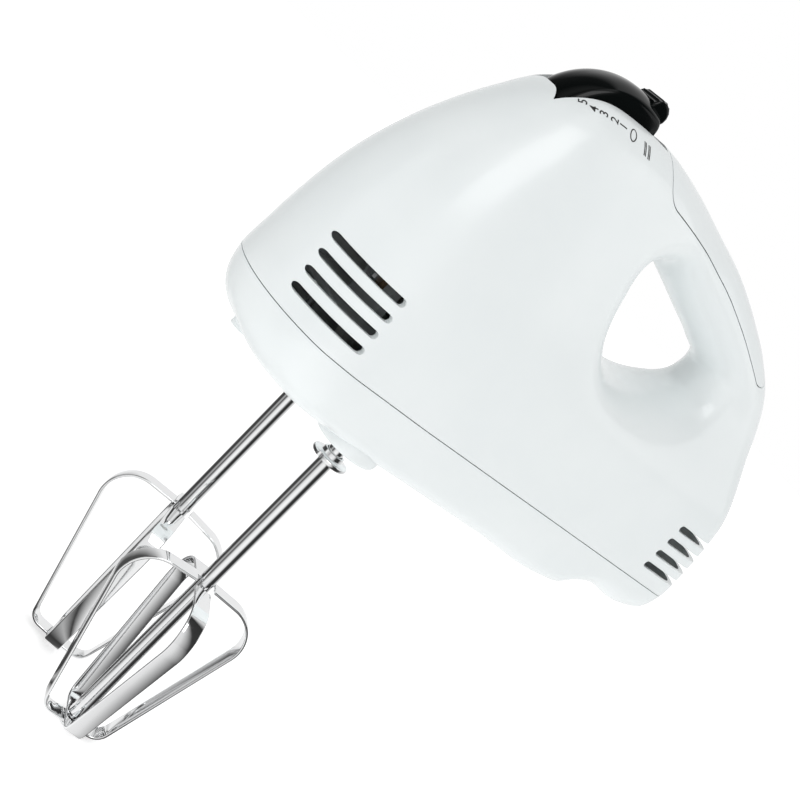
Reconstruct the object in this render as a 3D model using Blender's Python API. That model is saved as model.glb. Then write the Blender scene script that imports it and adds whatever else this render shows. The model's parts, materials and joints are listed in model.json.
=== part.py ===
"""Electric hand mixer, built as an assembly of separate sub-parts.

Frame: +X towards the nose, +Y to the user's left, +Z up, metres.
The origin lies on the flat underside, midway between the two beater axes.
Lengths in this file are written in millimetres and scaled by MM when a mesh is made.
"""
import math

import bmesh
import bpy
import numpy as np
from mathutils import Matrix, Vector

MM = 0.001

# ---------------------------------------------------------------- driving dimensions (mm)
WALL = 2.2                  # shell thickness
GAP = 0.3                   # clearance between neighbouring pieces
SEAM_Z = 21.0               # parting plane of the two housings
STEP_Z = 8.0                # height of the raised heel behind the bowl step
BEATER_SPACING = 41.0
SOCKET_Y = BEATER_SPACING / 2

MOTOR_Z = 42.0              # height of the motor axis
GEAR_MODULE = 1.0
GEAR_TEETH = 26
WORM_STARTS = 2
GEAR_RADIUS = GEAR_MODULE * GEAR_TEETH / 2
WORM_RADIUS = SOCKET_Y - GEAR_RADIUS
TOOTH_ADDENDUM = 0.75
TOOTH_DEDENDUM = 1.05
TOOTH_CLEARANCE = 0.34      # taken off the width of each tooth and thread
GEAR_WIDTH = 6.0
WORM_LENGTH = 19.0
FAN_BLADES = 7

SWITCH_X = -2.0             # axis of the rocking switch
SWITCH_Z = 109.0
SWITCH_RADIUS = 28.4
SWITCH_HALF_WIDTH = 9.4
SWITCH_OPENING_BACK = 14.8
SWITCH_BACK = -82.0         # angles round the switch axis, from straight up towards the nose
SWITCH_STEP = (-19.0, -12.0)
SWITCH_FRONT = 80.0
SKIRT_RADIUS = 22.0
KNOB_ANGLE = -10.5
KNOB_REACH = 27.2
KNOB_RADIUS = 4.3
ROCKER_PLATE = 2.0           # thickness of the rocker's side plates
ROCKER_REACH = 26.0
EJECT_BAR_Z = (67.3, 70.5)
EJECT_POST_X = (-23.0, -19.0)
EJECT_SPRING_SEAT = 54.0
SPRING_X = -18.0

SHAFT_RADIUS = 2.8          # beater rods
SHAFT_TOP = 30.0
BLADE_TOP = -69.0
BLADE_BOTTOM = -134.0
BLADE_RADIUS = 24.5
BLADE_FOOT = 12.5
STRAP_WIDTH = 6.4
STRAP_THICKNESS = 1.0
COLLAR_Z = -8.8
LEFT_BLADE_ANGLE = -15.0
RIGHT_BLADE_ANGLE = -30.0

# Side view of the body: x, z, how far the rounding reaches inwards, flat share of the width there.
OUTLINE = [
    (57.6, 19, 34, 0.02), (57.0, 34, 34, 0.02), (55.6, 50, 34, 0.02), (52.9, 66, 33, 0.02),
    (48.4, 81, 31, 0.02), (41.6, 96, 27, 0.02), (33.6, 109, 22, 0.03), (24.5, 120, 15, 0.12),
    (13.0, 126.8, 11, 0.35), (-3.0, 130.0, 11, 0.40), (-22.0, 131.0, 12, 0.25), (-40.0, 129.3, 14, 0.08),
    (-60.0, 125.3, 15, 0.05), (-79.0, 121.0, 15, 0.05), (-97.0, 114.8, 15, 0.05), (-113.5, 107.6, 15, 0.05),
    (-127.0, 99.0, 15, 0.08), (-135.5, 89.0, 15, 0.15), (-140.8, 77.0, 15, 0.25), (-144.3, 64.0, 14, 0.38),
    (-146.6, 48.0, 13, 0.48), (-147.6, 32.0, 12, 0.55), (-146.8, 19.0, 10, 0.60), (-142.5, 10.8, 9, 0.65),
    (-133.0, STEP_Z, 8, 0.72), (-112.0, STEP_Z, 7, 0.74), (-106.5, 5.6, 6, 0.74), (-102.0, 1.2, 6, 0.74),
    (-96.0, 0.0, 6, 0.74), (-60.0, 0.0, 6, 0.74), (-25.0, 0.0, 6, 0.74), (8.0, 0.0, 7, 0.72),
    (31.0, 0.6, 10, 0.55), (46.0, 4.0, 20, 0.28), (54.5, 10.5, 30, 0.08)]
# Side view of the finger opening under the grip.
OPENING = [
    (-40.5, 101), (-41.5, 90), (-46.0, 79), (-54.5, 71.5), (-67.0, 69.0), (-80.0, 70.5), (-91.0, 75.5),
    (-98.0, 82.5), (-97.5, 89.0), (-88.0, 93.5), (-73.0, 98.0), (-58.0, 102.5), (-47.0, 105.5)]
OPENING_ROUNDING = 12.0
OPENING_CENTRE = (-72.0, 87.0)
OPENING_SQUASH = 1.5        # makes the opening round enough to be swept by angle
# Half width of the body at rest of its height: z, half width.
HALF_WIDTHS = [(0, 33.5), (9, 36.8), (21, 38), (40, 37.5), (58, 35.5), (76, 31.5), (92, 27.5), (108, 23.5),
               (120, 20), (131, 17)]
TAPER_START = -5.0          # the sides close in behind this x
TAPER_RATE = 0.00150
GRIP_HALF_WIDTH = 14.5

FRONT_SLOT_Z = [28.3, 34.3, 40.3, 46.3]
FRONT_SLOT_X = (29.5, 52.5)
FRONT_SLOT_Y = 11.0
REAR_SLOT_Z = [28.2, 34.0, 39.8, 45.6]
REAR_SLOT_X = (-160.0, -121.0)
REAR_SLOT_Y = 13.0
SLOT_HEIGHT = 2.7

# Side view of the cap on top of the grip.
COVER = [(-18.0, 140), (-18.0, 129.5), (-24.0, 119.8), (-40.0, 118.6), (-53.0, 117.3), (-73.0, 113.4),
         (-92.0, 107.3), (-105.4, 102.0), (-114.0, 98.5), (-118.5, 99.3), (-119.6, 102), (-119.0, 140)]
SIDE_SCREW_X = -74.0
SIDE_SCREW_Y = 22.0
FRONT_SCREW_X = 43.0
REAR_SCREW_X = -129.0
COVER_SCREW_X = -50.0
BRACKET_SCREW_X = (32.0, -24.5)
INLET_Z = 54.0
SIDES = (("left", 1), ("right", -1))
# Housing screws, as x, y and the top of the boss above the seam or the foot of the tube below it.
UPPER_BOSSES = [(FRONT_SCREW_X, 0, 36), (REAR_SCREW_X, 0, 31),
                (SIDE_SCREW_X, SIDE_SCREW_Y, 36), (SIDE_SCREW_X, -SIDE_SCREW_Y, 36)]
LOWER_TUBES = [(FRONT_SCREW_X, 0, 1.5), (REAR_SCREW_X, 0, STEP_Z + 1),
               (SIDE_SCREW_X, SIDE_SCREW_Y, 1), (SIDE_SCREW_X, -SIDE_SCREW_Y, 1)]
OUTSIDE_STEPS = (46, 8)     # divisions of the body form, round the side view and across it
INSIDE_STEPS = (32, 7)

# ---------------------------------------------------------------- materials
WHITE = ("white_abs", (0.86, 0.88, 0.88, 1), 0.25, 0.0)
BLACK = ("black_abs", (0.012, 0.014, 0.014, 1), 0.2, 0.0)
CHROME = ("chromed_steel", (0.82, 0.83, 0.84, 1), 0.08, 1.0)
STEEL = ("plain_steel", (0.55, 0.56, 0.57, 1), 0.35, 1.0)
LAMINATION = ("electrical_steel", (0.30, 0.31, 0.33, 1), 0.45, 1.0)
COPPER = ("enamelled_copper", (0.62, 0.27, 0.12, 1), 0.35, 1.0)
BRASS = ("brass", (0.72, 0.55, 0.25, 1), 0.3, 1.0)
CARBON = ("carbon", (0.03, 0.03, 0.032, 1), 0.6, 0.0)
ACETAL = ("acetal", (0.78, 0.78, 0.74, 1), 0.4, 0.0)
GREY = ("grey_nylon", (0.33, 0.36, 0.37, 1), 0.45, 0.0)
BRONZE = ("sintered_bronze", (0.50, 0.36, 0.22, 1), 0.5, 1.0)
BOARD = ("phenolic_board", (0.30, 0.17, 0.08, 1), 0.55, 0.0)
RUBBER = ("grey_rubber", (0.20, 0.21, 0.22, 1), 0.7, 0.0)


def material(spec):
    name, colour, roughness, metallic = spec
    found = bpy.data.materials.get(name)
    if found:
        return found
    made = bpy.data.materials.new(name)
    made.use_nodes = True
    shader = made.node_tree.nodes["Principled BSDF"]
    shader.inputs["Base Color"].default_value = colour
    shader.inputs["Roughness"].default_value = roughness
    shader.inputs["Metallic"].default_value = metallic
    return made


def clear_scene():
    for found in list(bpy.data.objects):
        bpy.data.objects.remove(found, do_unlink=True)


# ---------------------------------------------------------------- mesh helpers (millimetres in)
def make(name, verts, faces, spec, parent=None):
    """One object from points in the mixer's frame; its origin is its parent empty's place."""
    base = parent.location if parent else Vector((0, 0, 0))
    mesh = bpy.data.meshes.new(name)
    mesh.from_pydata([Vector(v) * MM - base for v in verts], [], faces)
    shape = bmesh.new()
    shape.from_mesh(mesh)
    bmesh.ops.remove_doubles(shape, verts=shape.verts, dist=0.00001)
    bmesh.ops.recalc_face_normals(shape, faces=shape.faces)
    shape.to_mesh(mesh)
    shape.free()
    mesh.shade_smooth()
    mesh.set_sharp_from_angle(angle=math.radians(35))
    made = bpy.data.objects.new(name, mesh)
    bpy.context.scene.collection.objects.link(made)
    made.data.materials.append(material(spec))
    if parent:
        made.parent = parent
    return made


def axis_empty(name, x, y, z):
    empty = bpy.data.objects.new(name, None)
    bpy.context.scene.collection.objects.link(empty)
    empty.location = Vector((x, y, z)) * MM
    return empty


def combine(target, tool, operation):
    """A live exact Boolean; the tool stays in the file as a hidden guide."""
    tool.hide_render = True
    tool.display_type = "WIRE"
    step = target.modifiers.new(tool.name, "BOOLEAN")
    step.operation = operation
    step.solver = "EXACT"
    step.object = tool


def cut(target, tool):
    combine(target, tool, "DIFFERENCE")


def join(target, tool):
    combine(target, tool, "UNION")


def box_data(x0, x1, y0, y1, z0, z1):
    verts = [(x, y, z) for x in (x0, x1) for y in (y0, y1) for z in (z0, z1)]
    faces = [(0, 1, 3, 2), (4, 6, 7, 5), (0, 4, 5, 1), (2, 3, 7, 6), (0, 2, 6, 4), (1, 5, 7, 3)]
    return verts, faces


def box(name, x0, x1, y0, y1, z0, z1, spec=WHITE, parent=None):
    return make(name, *box_data(x0, x1, y0, y1, z0, z1), spec, parent)


def place(axis, along, first, second):
    """Point at a distance along X, Y or Z, with the two other coordinates in cyclic order."""
    if axis == "X":
        return (along, first, second)
    if axis == "Y":
        return (second, along, first)
    return (first, second, along)


def prism(name, outline, low, high, axis="Z", spec=WHITE, parent=None):
    """Extrusion along an axis of an outline given in the two other axes, in cyclic order."""
    count = len(outline)
    verts = [place(axis, level, a, b) for level in (low, high) for a, b in outline]
    faces = [tuple(range(count)), tuple(range(count, 2 * count))]
    faces += [(i, (i + 1) % count, (i + 1) % count + count, i + count) for i in range(count)]
    return make(name, verts, faces, spec, parent)


def turned_data(profile, centre=(0, 0, 0), axis="Z", sides=16, ring=False):
    """profile is (radius, along); a ring's profile is closed, a solid's ends are capped."""
    rows = len(profile)
    verts = []
    for radius, along in profile:
        for k in range(sides):
            angle = 2 * math.pi * (k + 0.35) / sides
            point = place(axis, along, radius * math.cos(angle), radius * math.sin(angle))
            verts.append(tuple(p + c for p, c in zip(point, centre)))
    faces = []
    for row in range(rows if ring else rows - 1):
        after = (row + 1) % rows
        for k in range(sides):
            step = (k + 1) % sides
            faces.append((row * sides + k, row * sides + step, after * sides + step, after * sides + k))
    if not ring:
        faces += [tuple(range(sides)), tuple(range((rows - 1) * sides, rows * sides))]
    return verts, faces


def turned(name, profile, centre=(0, 0, 0), axis="Z", sides=16, spec=WHITE, parent=None, ring=False):
    return make(name, *turned_data(profile, centre, axis, sides, ring), spec, parent)


def group(name, bodies):
    """Several separate bodies in one guide object, used as one Boolean tool."""
    verts = []
    faces = []
    for body_verts, body_faces in bodies:
        faces += [tuple(i + len(verts) for i in face) for face in body_faces]
        verts += body_verts
    return make(name, verts, faces, WHITE)


def upright_rods(name, radius, places, sides=8):
    """Vertical rods given as (x, y, low, high)."""
    return group(name, [turned_data([(radius, low), (radius, high)], (x, y, 0), "Z", sides)
                        for x, y, low, high in places])


def rod(name, radius, low, high, centre=(0, 0, 0), axis="Z", sides=12, spec=STEEL, parent=None):
    return turned(name, [(radius, low), (radius, high)], centre, axis, sides, spec, parent)


def tube(name, outer, inner, low, high, centre=(0, 0, 0), axis="Z", sides=14, spec=STEEL, parent=None):
    profile = [(outer, low), (outer, high), (inner, high), (inner, low)]
    return turned(name, profile, centre, axis, sides, spec, parent, ring=True)


def coil(name, radius, wire, turns, low, high, centre, axis="Z", steps=8, spec=STEEL, parent=None):
    """Helical spring with a square-set wire section."""
    count = int(turns * steps) + 1
    verts = []
    for i in range(count):
        angle = 2 * math.pi * i / steps
        along = low + (high - low) * i / (count - 1)
        for k in range(4):
            turn = 2 * math.pi * k / 4
            out = radius + wire * math.cos(turn)
            point = place(axis, along + wire * math.sin(turn), out * math.cos(angle), out * math.sin(angle))
            verts.append(tuple(p + c for p, c in zip(point, centre)))
    faces = [(0, 1, 2, 3), tuple(range((count - 1) * 4, count * 4))]
    for i in range(count - 1):
        for k in range(4):
            step = (k + 1) % 4
            faces.append((i * 4 + k, i * 4 + step, (i + 1) * 4 + step, (i + 1) * 4 + k))
    return make(name, verts, faces, spec, parent)


# ---------------------------------------------------------------- body surface
def closed_spline(points, count):
    """Even samples along the closed smooth curve through the points; extra columns are carried along."""
    knots = np.array(points, float)
    size = len(knots)
    chord = np.linalg.norm(np.roll(knots[:, :2], -1, 0) - knots[:, :2], axis=1)
    before = np.roll(chord, 1)
    slope_in = (knots - np.roll(knots, 1, 0)) / before[:, None]
    slope_out = (np.roll(knots, -1, 0) - knots) / chord[:, None]
    tangent = (slope_in * chord[:, None] + slope_out * before[:, None]) / (before + chord)[:, None]
    starts = np.concatenate([[0], np.cumsum(chord)])
    samples = []
    for place_on in np.linspace(0, starts[-1], count, endpoint=False):
        i = min(np.searchsorted(starts, place_on, side="right") - 1, size - 1)
        j = (i + 1) % size
        t = (place_on - starts[i]) / chord[i]
        samples.append((2 * t**3 - 3 * t**2 + 1) * knots[i] + (t**3 - 2 * t**2 + t) * chord[i] * tangent[i]
                       + (3 * t**2 - 2 * t**3) * knots[j] + (t**3 - t**2) * chord[i] * tangent[j])
    return np.array(samples)


def inset(curve, distance):
    """Moves a closed curve to its left by a distance."""
    along = np.roll(curve[:, :2], -1, 0) - np.roll(curve[:, :2], 1, 0)
    along /= np.linalg.norm(along, axis=1)[:, None]
    moved = curve.copy()
    moved[:, 0] -= along[:, 1] * distance
    moved[:, 1] += along[:, 0] * distance
    return moved


def smooth_step(value):
    value = np.clip(value, 0, 1)
    return value * value * (3 - 2 * value)


def half_width(x, z):
    heights, widths = zip(*HALF_WIDTHS)
    width = np.interp(z, heights, widths) * (1 - TAPER_RATE * np.clip(TAPER_START - x, 0, None))
    in_grip = smooth_step((-28 - x) / 45) * smooth_step((z - 52) / 42)
    return width * (1 - in_grip) + GRIP_HALF_WIDTH * in_grip


def distance_to(points, curve):
    """Shortest distance from each point to a closed polyline."""
    ends = np.roll(curve, -1, 0)
    span = ends - curve
    offset = points[:, None, :] - curve[None, :, :]
    t = np.clip((offset * span).sum(2) / (span * span).sum(1), 0, 1)
    return np.linalg.norm(offset - t[:, :, None] * span, axis=2).min(1)


def rounding(share):
    share = np.clip(share, 0, 1)
    return np.sqrt(1 - (1 - share) ** 2)


def matched_rays(edge, rim, count):
    """Pairs of points on the outer edge and on the opening's rim, spread evenly along both."""
    turns = np.linspace(0, 2 * math.pi, 1441)
    curves = []
    progress = np.zeros(len(turns))
    for curve in (edge, rim):
        offset = curve[:, :2] - np.array(OPENING_CENTRE)
        angle = np.arctan2(offset[:, 1] * OPENING_SQUASH, offset[:, 0])
        even = [np.interp(turns, angle, curve[:, k], period=2 * math.pi) for k in range(curve.shape[1])]
        curves.append(np.stack(even, -1))
        steps = np.linalg.norm(np.diff(curves[-1][:, :2], axis=0), axis=1)
        progress[1:] += np.cumsum(steps) / steps.sum()
    chosen = np.interp(np.arange(count) * 2 / count, progress, turns)
    return [np.stack([np.interp(chosen, turns, c[:, k]) for k in range(c.shape[1])], -1) for c in curves]


def body_surface(name, around, across, wall, spec=WHITE):
    """The closed body form, set in from the outside by a wall thickness.

    Rows run from the outer edge of the side view to the finger opening, on the left face and then
    back on the right face, so the form is one ring with the opening through it.
    """
    edge = inset(closed_spline(OUTLINE, 720), wall)
    rim = inset(closed_spline(OPENING, 360), wall)
    chosen, inner = matched_rays(edge, rim, around)
    reach = np.maximum(chosen[:, 2] - wall, 3.0)
    flat = chosen[:, 3]
    rows = []
    for step in range(across):
        share = 0.5 - 0.5 * math.cos(math.pi * step / (across - 1))
        side = chosen[:, :2] * (1 - share) + inner * share
        from_edge = rounding(distance_to(side, edge[:, :2]) / reach)
        from_rim = rounding(distance_to(side, rim) / (OPENING_ROUNDING - wall))
        if step == 0:
            from_edge = from_edge * 0
        if step == across - 1:
            from_rim = from_rim * 0
        width = half_width(side[:, 0], side[:, 1]) - wall
        y = width * (flat + (1 - flat) * from_edge) * (0.03 + 0.97 * from_rim)
        rows.append(np.stack([side[:, 0], y, side[:, 1]], -1))
    mirrored = [row * np.array([1, -1, 1]) for row in reversed(rows)]
    grid = np.array(rows + mirrored)
    levels, count = grid.shape[:2]
    faces = []
    for level in range(levels):
        after = (level + 1) % levels
        for k in range(count):
            step = (k + 1) % count
            faces.append((level * count + k, level * count + step, after * count + step, after * count + k))
    return make(name, grid.reshape(-1, 3).tolist(), faces, spec)


# ---------------------------------------------------------------- housings
def vent_cutter():
    """All the cooling slots, four on each side in front and four round each rear corner."""
    rows = [(FRONT_SLOT_Z, FRONT_SLOT_X, FRONT_SLOT_Y), (REAR_SLOT_Z, REAR_SLOT_X, REAR_SLOT_Y)]
    slots = []
    for _, side in SIDES:
        for heights, span, near in rows:
            across = sorted((side * near, side * 48))
            slots += [box_data(*span, *across, z - SLOT_HEIGHT / 2, z + SLOT_HEIGHT / 2) for z in heights]
    return group("cooling_slots", slots)


def cover_tool(name, grow):
    """The region of the grip that belongs to the cover, grown by half the seam."""
    outline = inset(np.array(COVER, float), grow)
    return prism(name, [(z, x) for x, z in outline], -30, 30, axis="Y")


def switch_opening():
    """Window over the switch: straight behind the knob and round along the drum in front."""
    radius = SWITCH_RADIUS + 0.5
    back = SWITCH_X - SWITCH_OPENING_BACK
    start = -math.asin(SWITCH_OPENING_BACK / radius)
    outline = [(SWITCH_Z - 15.0, back)]
    for k in range(11):
        angle = start + (math.radians(104) - start) * k / 10
        outline.append((SWITCH_Z + radius * math.cos(angle), SWITCH_X + radius * math.sin(angle)))
    outline.append((SWITCH_Z - 15.0, SWITCH_X + 20.0))
    half = SWITCH_HALF_WIDTH + 0.5
    return prism("switch_opening", outline, -half, half, axis="Y")


def build_upper_housing():
    shell = body_surface("upper_housing", *OUTSIDE_STEPS, 0)
    cut(shell, cover_tool("cover_pocket", GAP / 2))
    cut(shell, switch_opening())
    cut(shell, body_surface("upper_cavity", *INSIDE_STEPS, WALL))
    below = SEAM_Z - 5
    ribs = [box_data(FRONT_SCREW_X, 56, -1.2, 1.2, below, 36)]
    ribs.append(box_data(-146, REAR_SCREW_X, -1.2, 1.2, below, 31))
    for _, side in SIDES:
        across = sorted((side * SIDE_SCREW_Y, side * 32.4))
        ribs.append(box_data(SIDE_SCREW_X - 1.2, SIDE_SCREW_X + 1.2, *across, below, 36))
    join(shell, group("upper_ribs", ribs))
    join(shell, upright_rods("upper_bosses", 4.0, [(x, y, below, high) for x, y, high in UPPER_BOSSES]))
    holes = [(x, y, below - 1, high - 3) for x, y, high in UPPER_BOSSES]
    cut(shell, upright_rods("upper_screw_holes", 1.7, holes))
    combine(shell, box("above_seam", -200, 100, -80, 80, SEAM_Z + GAP / 2, 200), "INTERSECT")
    cut(shell, vent_cutter())
    cut(shell, rod("inlet_hole", 5.4, -170, -120, (0, 0, INLET_Z), "X", 16))
    return shell


def build_handle_cover():
    cover = body_surface("handle_cover", *OUTSIDE_STEPS, 0)
    combine(cover, cover_tool("cover_region", -GAP / 2), "INTERSECT")
    cut(cover, body_surface("cover_cavity", *INSIDE_STEPS, WALL))
    for number, x in enumerate((COVER_SCREW_X, COVER_SCREW_X - 45)):
        top = float(np.interp(x, [-97, -79, -60, -40], [114.8, 121, 125.3, 129.3]))
        join(cover, rod(f"cover_post_{number}", 3.0, top - 11, top - 1.4, (x, 0, 0), sides=10))
        cut(cover, rod(f"cover_post_hole_{number}", 1.3, top - 12, top - 4, (x, 0, 0), sides=8))
    return cover


def build_lower_housing():
    tray = body_surface("lower_housing", *OUTSIDE_STEPS, 0)
    cut(tray, body_surface("lower_cavity", *INSIDE_STEPS, WALL))
    above = SEAM_Z + 5
    join(tray, upright_rods("lower_tubes", 4.0, [(x, y, low + 1, above) for x, y, low in LOWER_TUBES]))
    cut(tray, upright_rods("lower_screw_holes", 1.7, [(x, y, -5, 40) for x, y, _ in LOWER_TUBES]))
    cut(tray, upright_rods("screw_head_wells", 3.5, [(x, y, -5, low + 8) for x, y, low in LOWER_TUBES], 10))
    combine(tray, box("below_seam", -200, 100, -80, 80, -50, SEAM_Z - GAP / 2), "INTERSECT")
    socket = [(0.02, -2.6), (11.2, -2.6), (12.2, -1.4), (12.2, 6), (0.02, 6)]
    sockets = [turned_data(socket, (0, side * SOCKET_Y, 0), "Z", 20) for _, side in SIDES]
    join(tray, group("sockets", sockets))
    bores = [(0, side * SOCKET_Y, -6, 10) for _, side in SIDES]
    cut(tray, upright_rods("socket_bores", 8.0, bores, 16))
    join(tray, upright_rods("bracket_posts", 4.0, [(x, 0, 1, 28.5) for x in BRACKET_SCREW_X]))
    cut(tray, upright_rods("bracket_post_holes", 1.7, [(x, 0, 14, 30) for x in BRACKET_SCREW_X]))
    return tray


def build_screws():
    names = ("front_screw", "rear_screw", "side_screw_left", "side_screw_right")
    for name, (x, y, low), (_, _, high) in zip(names, LOWER_TUBES, UPPER_BOSSES):
        seat = low + 8 - GAP
        tip = high - 5
        profile = [(1.9, seat - 1.7), (2.8, seat - 1.1), (2.8, seat), (1.3, seat), (1.3, tip - 1.5),
                   (0.3, tip)]
        screw = turned(name, profile, (x, y, 0), sides=12, spec=STEEL)
        cross = box(name + "_recess", x - 1.3, x + 1.3, y - 0.35, y + 0.35, seat - 3, seat - 0.9)
        cut(screw, cross)


# ---------------------------------------------------------------- switch
def build_switch(axis):
    """Rocking drum: crowned cap with the thumb knob, a lower skirt behind it, a web and a hub."""
    half = SWITCH_HALF_WIDTH
    inner = 15.0
    # Across the drum: share of the half width, how far the crown has fallen there.
    crown = [(-1, 3.6), (-0.86, 1.6), (-0.5, 0.4), (0, 0), (0.5, 0.4), (0.86, 1.6), (1, 3.6)]
    skirt = [SWITCH_BACK + (SWITCH_STEP[0] - SWITCH_BACK) * k / 4 for k in range(5)]
    step = [SWITCH_STEP[0] + (SWITCH_STEP[1] - SWITCH_STEP[0]) * share for share in (0.12, 0.45, 1)]
    cap = [SWITCH_STEP[1] + (SWITCH_FRONT - SWITCH_STEP[1]) * k / 8 for k in range(1, 9)]
    rows = []
    for angle in skirt + step + cap:
        share = min(max((angle - SWITCH_STEP[0]) / (SWITCH_STEP[1] - SWITCH_STEP[0]), 0), 1)
        rise = math.sqrt(1 - (1 - share) ** 2)
        outer = SKIRT_RADIUS + (SWITCH_RADIUS - SKIRT_RADIUS) * rise
        section = [(-half, inner)] + [(half * y, outer - drop * (0.3 + 0.7 * rise)) for y, drop in crown]
        turn = math.radians(angle)
        rows.append([(SWITCH_X + radius * math.sin(turn), y, SWITCH_Z + radius * math.cos(turn))
                     for y, radius in section + [(half, inner)]])
    size = len(rows[0])
    last = len(rows) - 1
    faces = [tuple(range(size)), tuple(range(last * size, (last + 1) * size))]
    for row in range(last):
        for k in range(size):
            after = (k + 1) % size
            faces.append((row * size + k, row * size + after, (row + 1) * size + after, (row + 1) * size + k))
    drum = make("speed_switch", sum(rows, []), faces, BLACK, axis)
    knob_turn = math.radians(KNOB_ANGLE)
    knob_at = (SWITCH_X + KNOB_REACH * math.sin(knob_turn), 0, SWITCH_Z + KNOB_REACH * math.cos(knob_turn))
    profile = [(2.4, -6.0), (KNOB_RADIUS - 0.4, -5.2), (KNOB_RADIUS, -4.0), (KNOB_RADIUS, 4.0),
               (KNOB_RADIUS - 0.4, 5.2), (2.4, 6.0)]
    join(drum, turned("thumb_knob", profile, knob_at, "Y", 12, BLACK))
    join(drum, rod("switch_hub", 4.2, -half, half, (SWITCH_X, 0, SWITCH_Z), "Y", 12))
    join(drum, box("switch_web", SWITCH_X - 3, SWITCH_X + 6, -2, 2, SWITCH_Z, SWITCH_Z + 17))
    cut(drum, rod("switch_bore", 1.9, -half - 1, half + 1, (SWITCH_X, 0, SWITCH_Z), "Y", 12))
    return drum


def build_switch_frame():
    """U-shaped carrier of the switch, its hinge pin, the contact board and the contact leaves."""
    side = SWITCH_HALF_WIDTH + 1.0
    plate = 1.6
    low = SWITCH_Z - 34
    frame = box("switch_frame", -18, 12, -side - plate, side + plate, low, SWITCH_Z + 6, GREY)
    cut(frame, box("frame_room", -30, 30, -side, side, low + 2.0, SWITCH_Z + 10))
    cut(frame, rod("frame_bore", 1.8, -30, 30, (SWITCH_X, 0, SWITCH_Z), "Y", 16))
    cut(frame, box("frame_window", -14, 8, -20, 20, low + 5, SWITCH_Z - 10))
    arm_side = side + plate + GAP
    pin_end = arm_side + ROCKER_PLATE + 0.4
    rod("switch_pin", 1.5, -pin_end, pin_end, (SWITCH_X, 0, SWITCH_Z), "Y", 16, STEEL)
    build_rocker_plates(arm_side)
    board_low = low + 2.0 + GAP
    box("contact_board", -16, 10, -side + 0.6, side - 0.6, board_low, board_low + 1.6, BOARD)
    for number, y in enumerate((-5.5, 0.0, 5.5)):
        base = board_low + 1.6 + GAP
        leaf = [(base, -12), (base, 6), (base + 12, 3.5), (base + 12, 2.9), (base + 0.6, 5.2),
                (base + 0.6, -12)]
        prism(f"contact_leaf_{number + 1}", leaf, y - 1.5, y + 1.5, "Y", BRASS)


def build_rocker_plates(inner):
    """Steel side plates on the ends of the hinge pin; their feet stop the rocker at both ends."""
    outline = [(SWITCH_Z - ROCKER_REACH, SWITCH_X - 4.5), (SWITCH_Z - ROCKER_REACH, SWITCH_X + 4.5)]
    for k in range(9):
        angle = math.pi * k / 8
        outline.append((SWITCH_Z + 6 * math.sin(angle), SWITCH_X + 6 * math.cos(angle)))
    for word, side in SIDES:
        low, high = sorted((side * inner, side * (inner + ROCKER_PLATE)))
        plate = prism(f"rocker_plate_{word}", outline, low, high, "Y", STEEL)
        cut(plate, rod(f"rocker_bore_{word}", 1.8, -30, 30, (SWITCH_X, 0, SWITCH_Z), "Y", 16))


# ---------------------------------------------------------------- gears and motor
def worm_wheel(name, y, facing, axis):
    """Helical wheel with a long hub. One tooth points at the worm, so both wheels mesh at rest."""
    pitch_angle = 2 * math.pi / GEAR_TEETH
    tip = GEAR_RADIUS + TOOTH_ADDENDUM
    root = GEAR_RADIUS - TOOTH_DEDENDUM
    lead_slope = WORM_STARTS * GEAR_MODULE / (2 * WORM_RADIUS)
    twist = GEAR_WIDTH * lead_slope / GEAR_RADIUS
    half_pitch = math.pi * GEAR_MODULE / 4 - TOOTH_CLEARANCE / 2
    flank = math.tan(math.radians(20))
    levels = []
    for share in (-0.5, 0.5):
        ring = []
        for tooth in range(GEAR_TEETH):
            middle = facing + tooth * pitch_angle + share * twist
            root_half = (half_pitch + flank * TOOTH_DEDENDUM) / root
            tip_half = (half_pitch - flank * TOOTH_ADDENDUM) / tip
            for radius, turn in ((root, -root_half), (tip, -tip_half), (tip, tip_half), (root, root_half)):
                ring.append((radius * math.cos(middle + turn), y + radius * math.sin(middle + turn),
                             MOTOR_Z + share * GEAR_WIDTH))
        levels.append(ring)
    count = len(levels[0])
    verts = sum(levels, [])
    faces = [tuple(range(count)), tuple(range(count, 2 * count))]
    faces += [(k, (k + 1) % count, (k + 1) % count + count, k + count) for k in range(count)]
    wheel = make(name, verts, faces, ACETAL, axis)
    hub = [(4.4, -1.6), (4.9, -1.0), (4.9, 38), (6.5, 39.2), (6.5, 46), (4.9, 47.5), (4.9, 52)]
    join(wheel, turned(name + "_hub", hub, (0, y, 0), sides=14))
    cut(wheel, rod(name + "_bore", 3.2, -5, 60, (0, y, 0), sides=12))
    return wheel


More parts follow.
